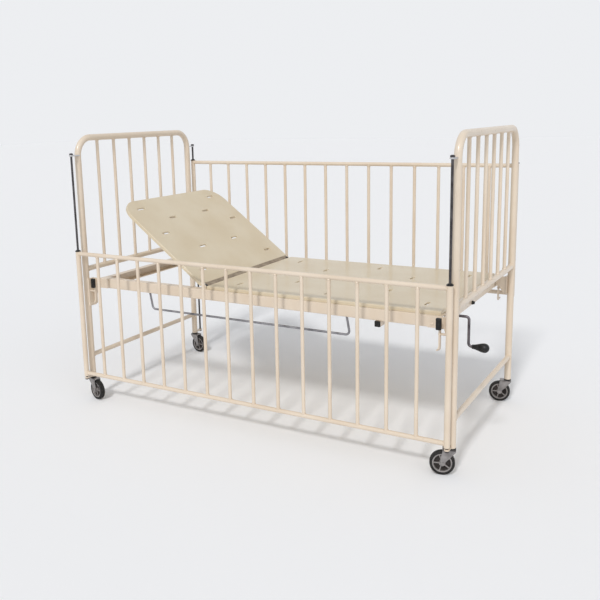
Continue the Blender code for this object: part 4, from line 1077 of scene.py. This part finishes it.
# Bag rail
# A thin rod of dull bare steel, bent to a long shallow hook, hangs under the near channel for
# drainage bags.
RAIL_R = 0.0040
RAIL_BEND = 0.014
RAIL_LEAN = 0.012
RAIL_START = 0.250           # from the hinge towards the head
RAIL_LIGHT = (0.36, 0.36, 0.385, 1.0)
RAIL_DARK = (0.20, 0.20, 0.215, 1.0)
dull_steel = oiled_steel("dull_steel", RAIL_LIGHT, RAIL_DARK, roughness=0.45)
low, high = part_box("bag_rail")
rail_y = (low.y + high.y) / 2
rail_z = low.z + RAIL_R
rail_head = HINGE.x - RAIL_START
rail_foot = high.x - RAIL_R
route = [(rail_head - RAIL_LEAN, rail_y, high.z), (rail_head, rail_y, rail_z), (rail_foot, rail_y, rail_z),
         (rail_foot - RAIL_LEAN, rail_y, high.z)]
finished(bent_rod("drainage_bag_rail", route, RAIL_R, RAIL_BEND), dull_steel, "bed_frame", "bag_rail")


# Drop sides
# Each long side is a welded frame of thin tubes that slides on two guide rods. The near side
# hangs down and the far side is up. A black flanged bush caps each upright round its rod.
SIDE_RAIL_R = 0.0080
SIDE_BAR_R = 0.0064
SIDE_UPRIGHT_R = 0.0098
SIDE_BARS = 14
UPRIGHT_FOOT = 0.013
ROD_R = 0.0042
WELD_DEPTH = 0.003
FLANGE_TOP = 0.45            # of the bush's height
FLANGE_BEVEL = 0.0008
SHOULDER_LOW = 0.6           # of its height
SHOULDER_TOP = 0.66          # of its height
NECK_SHARES = (0.72, 0.7, 0.66)     # of its radius, from the shoulder up
NECK_EASE = 0.0005
bore = ROD_R + RUN_GAP
bar_pitch = (UPRIGHT_X["foot"] - UPRIGHT_X["head"]) / (SIDE_BARS + 1)
bar_x = UPRIGHT_X["head"] + bar_pitch
rail_start = UPRIGHT_X["head"] + SIDE_UPRIGHT_R - WELD_DEPTH
rail_end = UPRIGHT_X["foot"] - SIDE_UPRIGHT_R + WELD_DEPTH
for side, sign in SIDES.items():
    y = sign * SIDE_Y
    low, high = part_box(side + "_side")
    top_z = high.z - SIDE_RAIL_R
    bottom_z = low.z + UPRIGHT_FOOT
    tubes = [welded_bar("rail", (rail_start, y, z), (rail_end, y, z), SIDE_RAIL_R, WELD_DEPTH, WELD_DEPTH,
                        TUBE_SIDES) for z in (bottom_z, top_z)]
    bar = welded_bar("bar", (bar_x, y, bottom_z), (bar_x, y, top_z), SIDE_BAR_R, SIDE_RAIL_R, SIDE_RAIL_R)
    tubes.append(repeated(bar, SIDE_BARS, (bar_pitch, 0, 0)))
    for x in UPRIGHT_X.values():
        tubes.append(bored_sleeve("upright", (x, y, low.z), (x, y, high.z), SIDE_UPRIGHT_R, bore))
    finished(joined(side + "_drop_side", tubes), cream_enamel, "drop_side_" + side, side + "_side")
    for end, x in UPRIGHT_X.items():
        node = "%s_%s_bush" % (side, end)
        low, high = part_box(node)
        bush_r = (high.x - low.x) / 2
        rise = high.z - low.z
        necks = [bush_r * share for share in NECK_SHARES]
        profile = [(bore, 0), (bush_r - RIM_EASE, 0), (bush_r, RIM_EASE), (bush_r, rise * FLANGE_TOP),
                   (bush_r - FLANGE_BEVEL, rise * SHOULDER_LOW), (necks[0], rise * SHOULDER_TOP),
                   (necks[1], rise - NECK_EASE), (necks[2], rise), (bore, rise), (bore, 0)]
        bush = placed(lathe(node + "_flanged", profile), (x, y, low.z))
        finished(bush, black_plastic, "drop_side_" + side, node)


# Guide rods
# Four dark rods stand between the lugs of each post, outside the hoops. A hexagon nut at each
# end holds the rod in its two lugs.
NUT_R = 0.0075
NUT_HEIGHT = 0.00595
NUT_EASE = 0.0007
NUT_ANGLE = math.radians(70)
ROD_PAST_NUT = 0.0008
ROD_LIGHT = (0.115, 0.108, 0.112, 1.0)
ROD_DARK = (0.045, 0.041, 0.044, 1.0)
rod_steel = oiled_steel("rod_steel", ROD_LIGHT, ROD_DARK, roughness=0.28)


def hex_nut(place, axis, radius, height):
    """Make a hexagon nut with its corners turned off."""
    item = ring("nut", place, axis, radius, sides=6)
    pull(*(axis * height))
    return soften(close_edit(item), NUT_EASE, angle=NUT_ANGLE)


nut_seat = LUG_TOP_Z + LUG_WALL / 2 + SEAT_GAP
foot_seat = LUG_FOOT_Z - LUG_WALL / 2 - SEAT_GAP
for corner, end, side, sign in CORNERS:
    node = corner + "_rod"
    low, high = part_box(node)
    x = UPRIGHT_X[end]
    y = sign * SIDE_Y
    rod = straight_tube("rod", (x, y, low.z), (x, y, high.z), ROD_R)
    nut = hex_nut((x, y, nut_seat), UPWARD, NUT_R, NUT_HEIGHT)
    foot_nut = hex_nut((x, y, foot_seat), -UPWARD, NUT_R, foot_seat - low.z - ROD_PAST_NUT)
    finished(joined(node + "_with_nuts", [rod, nut, foot_nut]), rod_steel, "bed_frame", node)


# Catches
# An enamelled flat lever pivots on each corner bracket. Its toe goes under the raised side's
# lower rail, and a ribbed black grip is pressed to swing it clear.
CATCH_WALL = 0.005
CATCH_HALF = 0.0065
CATCH_TOE_Z = -0.044         # from the pivot, as is the top
CATCH_TOE_REACH = 0.0295
CATCH_TOP = 0.0475
CATCH_CUT = 0.003
CATCH_EASE = 0.0007
PIN_GAP = 0.0004
PAD_ROUND = 0.003
PAD_GROOVES = 5
GROOVE_R = 0.0012
heel_z = CATCH_TOE_Z - CATCH_HALF
catch_shape = [(-CATCH_HALF, CATCH_TOP - CATCH_CUT), (-CATCH_HALF, CATCH_TOE_Z - CATCH_HALF / 2),
               (-CATCH_HALF / 3, heel_z), (CATCH_HALF, heel_z),
               (CATCH_TOE_REACH, CATCH_TOE_Z - CATCH_HALF / 3), (CATCH_TOE_REACH, CATCH_TOE_Z),
               (2 * CATCH_HALF, CATCH_TOE_Z), (CATCH_HALF, CATCH_TOE_Z + CATCH_HALF),
               (CATCH_HALF, CATCH_TOP), (-CATCH_HALF / 2, CATCH_TOP)]
drill_reach = ALONG * DRILL_PAST
for corner, end, side, sign in CORNERS:
    pivot = PLACE["catch_pivot_" + corner]
    points = [(pivot.x - CATCH_WALL / 2, pivot.y + sign * out, pivot.z + rise) for out, rise in catch_shape]
    lever = cut_plate(corner + "_catch_lever", points, ALONG * CATCH_WALL)
    drilled(lever, pivot - drill_reach, pivot + drill_reach, PIN_R + PIN_GAP)
    finished(soften(lever, CATCH_EASE), cream_enamel, "catch_" + corner, corner + "_catch")

    low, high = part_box(corner + "_catch_grip")
    pad = soften(close_edit(block(corner + "_catch_pad", low, high)), PAD_ROUND, segments=4)
    face_y = high.y if sign > 0 else low.y
    for index in range(1, PAD_GROOVES + 1):
        z = low.z + (high.z - low.z) * index / (PAD_GROOVES + 1)
        drilled(pad, (low.x - DRILL_PAST, face_y, z), (high.x + DRILL_PAST, face_y, z), GROOVE_R)
    finished(pad, black_plastic, "catch_" + corner, corner + "_catch_grip")


# Castors
# Each post stands on a swivel castor: a black stem and seat, a pressed steel fork that trails,
# a cast grey hub with five ribs over a dark disc of painted shade, a thin black tyre. One is made and
# copied.
TYRE_BLACK = (0.010, 0.0095, 0.009, 1.0)
TYRE_DUST = (0.042, 0.038, 0.035, 1.0)
TYRE_ROUGHNESS = 0.62
TYRE_SPREAD = 0.15
HUB_LIGHT = (0.46, 0.43, 0.42, 1.0)
HUB_DARK = (0.30, 0.28, 0.27, 1.0)
HUB_SHADE_LIGHT = (0.085, 0.075, 0.070, 1.0)
HUB_SHADE_DARK = (0.040, 0.034, 0.032, 1.0)
FORK_LIGHT = (0.41, 0.39, 0.385, 1.0)
FORK_DARK = (0.24, 0.225, 0.22, 1.0)
WHEEL_R = 0.040
TYRE_HALF = 0.010
TYRE_DEPTH = 0.0085
TYRE_SOFT = 0.0035
TYRE_EASE = 0.0008
HUB_HALF = 0.009
HUB_RIM = 0.0035
HUB_WEB_HALF = 0.003
HUB_BOSS_R = 0.0095
HUB_BORE = 0.0050
HUB_FLARE = 0.0012
HUB_EASE = 0.0005
HUB_RIBS = 5
HUB_RIB_HALF = 0.00275
HUB_RIB_SINK = 0.0015
HUB_RIB_TAPER = 0.6
HUB_SHADE_SKIN = 0.0003         # the dark disc of painted shade on the hub's web
HUB_SHADE_INSET = 0.0014
TRAIL = 0.029
AXLE_R = 0.0042
AXLE_NUT_R = 0.0072
FORK_INNER = 0.01225
FORK_WALL = 0.0025
FORK_OUTER = FORK_INNER + FORK_WALL
FORK_EASE = 0.0007
FORK_ANGLE = math.radians(60)
CHEEK_STEPS = 12
CHEEK_START = math.radians(160)
CHEEK_SWEEP = math.radians(210)
CROWN_LOW = 0.0835
CROWN_HIGH = 0.0877
SEAT_R = 0.0135
SEAT_LOW = 0.0880
SEAT_HIGH = 0.0922
SEAT_EASE = 0.001
SEAT_BEVEL = 0.0012
STEM_R = 0.0055
STEM_TOP = 0.1325


def wheel_part(name, half_profile, steps):
    """Turn a wheel part from the near half of its section and its mirror image."""
    far_half = [(radius, -height) for radius, height in reversed(half_profile)]
    return lathe(name, half_profile + far_half + half_profile[:1], steps)


def on_axle(item):
    """Lay a turned wheel part on its side at the axle of the castor at the origin."""
    return placed(item, (TRAIL, 0, WHEEL_R), ACROSS)


def copied(item, name, turn):
    """Copy a castor piece with a mesh of its own and carry it to its corner."""
    twin = item.copy()
    twin.data = item.data.copy()
    twin.name = name
    bpy.context.collection.objects.link(twin)
    twin.matrix_world = turn
    return settle(twin)


castor_rubber = Finish("castor_rubber", "castor_rubber", Specular_IOR_Level=0.3)
dust = castor_rubber.clouds(120.0, detail=4.0, low=0.4, high=0.8)
castor_rubber.shade(Base_Color=castor_rubber.blend(dust, TYRE_BLACK, TYRE_DUST),
                    Roughness=dust * TYRE_SPREAD + TYRE_ROUGHNESS,
                    Normal=castor_rubber.bump(castor_rubber.noise(900.0), strength=0.25, depth=0.0004))
hub_zinc = zinc("hub_zinc", HUB_LIGHT, HUB_DARK, roughness=0.42)
# The dark disc on the hub's web is painted shade: it darkens the recess between the ribs as its shadow
# would.
hub_ground = zinc("hub_ground", HUB_SHADE_LIGHT, HUB_SHADE_DARK, roughness=0.62)
fork_zinc = zinc("fork_zinc", FORK_LIGHT, FORK_DARK, roughness=0.34)

tyre_inner = WHEEL_R - TYRE_DEPTH
tread = [(tyre_inner, TYRE_HALF - TYRE_EASE), (tyre_inner + TYRE_EASE, TYRE_HALF)]
for out, rise in dome(TYRE_SOFT, TYRE_SOFT, TYRE_HALF - TYRE_SOFT, steps=4):
    tread.append((WHEEL_R - TYRE_SOFT + out, rise))
tyre_made = on_axle(wheel_part("tyre", tread, steps=56))

rim = tyre_inner - SEAT_GAP
rim_inner = rim - HUB_RIM
boss_half = FORK_INNER - RUN_GAP
hub_half = [(HUB_BORE, boss_half), (HUB_BOSS_R, boss_half), (HUB_BOSS_R + HUB_FLARE, HUB_WEB_HALF),
            (rim_inner - HUB_FLARE, HUB_WEB_HALF), (rim_inner, HUB_HALF), (rim, HUB_HALF)]
hub_parts = [soften(wheel_part("hub", hub_half, steps=50), HUB_EASE, angle=SMOOTH_ANGLE)]
for index in range(HUB_RIBS):
    rib = block("rib", (HUB_BOSS_R - HUB_RIB_SINK, -HUB_RIB_HALF, HUB_RIB_SINK - HUB_HALF),
                (rim_inner + HUB_RIB_SINK, HUB_RIB_HALF, HUB_HALF - HUB_RIB_SINK))
    pick(rib, facing(UPWARD, -UPWARD))
    bpy.ops.transform.resize(value=(1, HUB_RIB_TAPER, 1), center_override=(0, 0, 0))
    soften(close_edit(rib), HUB_EASE)
    rib.rotation_euler.z = 2 * math.pi * index / HUB_RIBS
    hub_parts.append(settle(rib))
hub_made = on_axle(joined("hub", hub_parts))
# A thin dark disc over the hub's web, between the ribs, is painted shade for the hub's shadowed recess.
skin = HUB_WEB_HALF + HUB_SHADE_SKIN
hub_shade_half = [(HUB_BOSS_R + HUB_SHADE_INSET, skin), (rim_inner - HUB_SHADE_INSET, skin)]
hub_shade_made = on_axle(wheel_part("ground", hub_shade_half, steps=50))

boss_r = 2 * AXLE_R
cheek_plan = [(-SEAT_R, CROWN_HIGH), (-SEAT_R, CROWN_LOW - FORK_WALL)]
for step in range(CHEEK_STEPS + 1):
    angle = CHEEK_START + CHEEK_SWEEP * step / CHEEK_STEPS
    cheek_plan.append((TRAIL + boss_r * math.cos(angle), WHEEL_R + boss_r * math.sin(angle)))
cheek_plan += [(TRAIL, CROWN_LOW - FORK_WALL), (TRAIL, CROWN_HIGH)]
fork_parts = []
for sign in SIDES.values():
    points = [(x, sign * FORK_INNER, z) for x, z in cheek_plan]
    fork_parts.append(cut_plate("cheek", points, ACROSS * sign * FORK_WALL))
    fork_parts.append(hex_nut((TRAIL, sign * FORK_OUTER, WHEEL_R), ACROSS * sign, AXLE_NUT_R, FORK_WALL))
crown = block("crown", (-SEAT_R, -FORK_OUTER, CROWN_LOW), (TRAIL, FORK_OUTER, CROWN_HIGH))
fork_parts.append(close_edit(crown))
fork_made = soften(joined("fork", fork_parts), FORK_EASE, angle=FORK_ANGLE)
axle = straight_tube("axle", (TRAIL, -FORK_INNER, WHEEL_R), (TRAIL, FORK_INNER, WHEEL_R), AXLE_R)
fork_made = joined("fork", [fork_made, axle])

seat_profile = [(0, SEAT_LOW), (SEAT_R - SEAT_EASE, SEAT_LOW), (SEAT_R, SEAT_LOW + SEAT_EASE),
                (SEAT_R, SEAT_HIGH - SEAT_BEVEL), (SEAT_R - SEAT_BEVEL, SEAT_HIGH), (STEM_R, SEAT_HIGH),
                (STEM_R, STEM_TOP - SEAT_EASE), (STEM_R - SEAT_EASE, STEM_TOP), (0, STEM_TOP)]
seat_made = lathe("seat", seat_profile, steps=36)

for corner, end, side, sign in CORNERS:
    post = PLACE["swivel_turn_" + corner]
    trail = PLACE["wheel_spin_" + corner] - post
    heading = Matrix.Rotation(math.atan2(trail.y, trail.x), 4, "Z")
    turn = Matrix.Translation((post.x, post.y, 0)) @ heading
    swivel = "swivel_" + corner
    wheel = "wheel_" + corner
    finished(copied(seat_made, corner + "_castor_head", turn), black_plastic, "bed_frame",
             corner + "_castor_seat")
    finished(copied(fork_made, corner + "_pressed_fork", turn), fork_zinc, swivel, corner + "_castor_fork")
    finished(copied(hub_made, corner + "_wheel_hub", turn), hub_zinc, wheel, corner + "_hub")
    finished(copied(hub_shade_made, corner + "_hub_ground", turn), hub_ground, wheel)
    finished(copied(tyre_made, corner + "_wheel_tyre", turn), castor_rubber, wheel, corner + "_tyre")
for item in (seat_made, fork_made, hub_made, hub_shade_made, tyre_made):
    bpy.data.objects.remove(item)


# Floor and light
# A pale seamless floor. One soft key light stands high in front of the bed, to the camera's
# left, and a weak wide fill on the right opens the shadows.
FLOOR_SIZE = 60.0
FLOOR_COLOUR = (0.95, 0.95, 0.955, 1.0)
FLOOR_SPECKLE = (0.94, 0.94, 0.95, 1.0)
BACKDROP = (0.847, 0.8585, 0.88, 1.0)
ROOM_LIGHT = (0.95, 0.97, 1.0, 1.0)
ROOM_STRENGTH = 0.52
KEY_ANGLE = math.radians(8)
KEY_STRENGTH = 1.45
KEY_FROM = Vector((0.13, -1.0, 0.95))
FILL_ANGLE = math.radians(60)
FILL_STRENGTH = 0.45
FILL_FROM = Vector((1.0, -0.7, 0.75))
LIGHT_REACH = 4


def sun(name, come_from, angle, strength):
    """Set up a far light that shines on the bed from one way."""
    light = started(bpy.ops.object.light_add, type="SUN", location=come_from * LIGHT_REACH)
    light.name = name
    light.data.angle = angle
    light.data.energy = strength
    light.rotation_euler = (-come_from).to_track_quat("-Z", "Y").to_euler()


floor = started(bpy.ops.mesh.primitive_plane_add, size=FLOOR_SIZE)
floor.name = "floor"
floor_paint = Finish("floor_paint", None, Roughness=0.9)
floor_paint.shade(Base_Color=floor_paint.blend(floor_paint.noise(3.0), FLOOR_COLOUR, FLOOR_SPECKLE))
floor.data.materials.append(floor_paint.material)
sun("key_light", KEY_FROM, KEY_ANGLE, KEY_STRENGTH)
sun("fill_light", FILL_FROM, FILL_ANGLE, FILL_STRENGTH)

world = bpy.data.worlds.new("studio")
bpy.context.scene.world = world
studio = Shading(world)
room = studio.node("ShaderNodeBackground", {}, {"Color": ROOM_LIGHT, "Strength": ROOM_STRENGTH})
seen = studio.node("ShaderNodeBackground", {}, {"Color": BACKDROP, "Strength": 1.0})
shown = studio.node("ShaderNodeLightPath", {}, {}, "Is Camera Ray")
for kind in ("Is Glossy Ray", "Is Transmission Ray"):
    ray = studio.node("ShaderNodeLightPath", {}, {}, kind)
    shown = studio.node("ShaderNodeMath", {"operation": "MAXIMUM"}, {0: shown, 1: ray})
either = studio.node("ShaderNodeMixShader", {}, {"Fac": shown, 1: room, 2: seen})
studio.feed(studio.tree.nodes["World Output"].inputs["Surface"], either)
bpy.context.scene.view_settings.view_transform = "Standard"
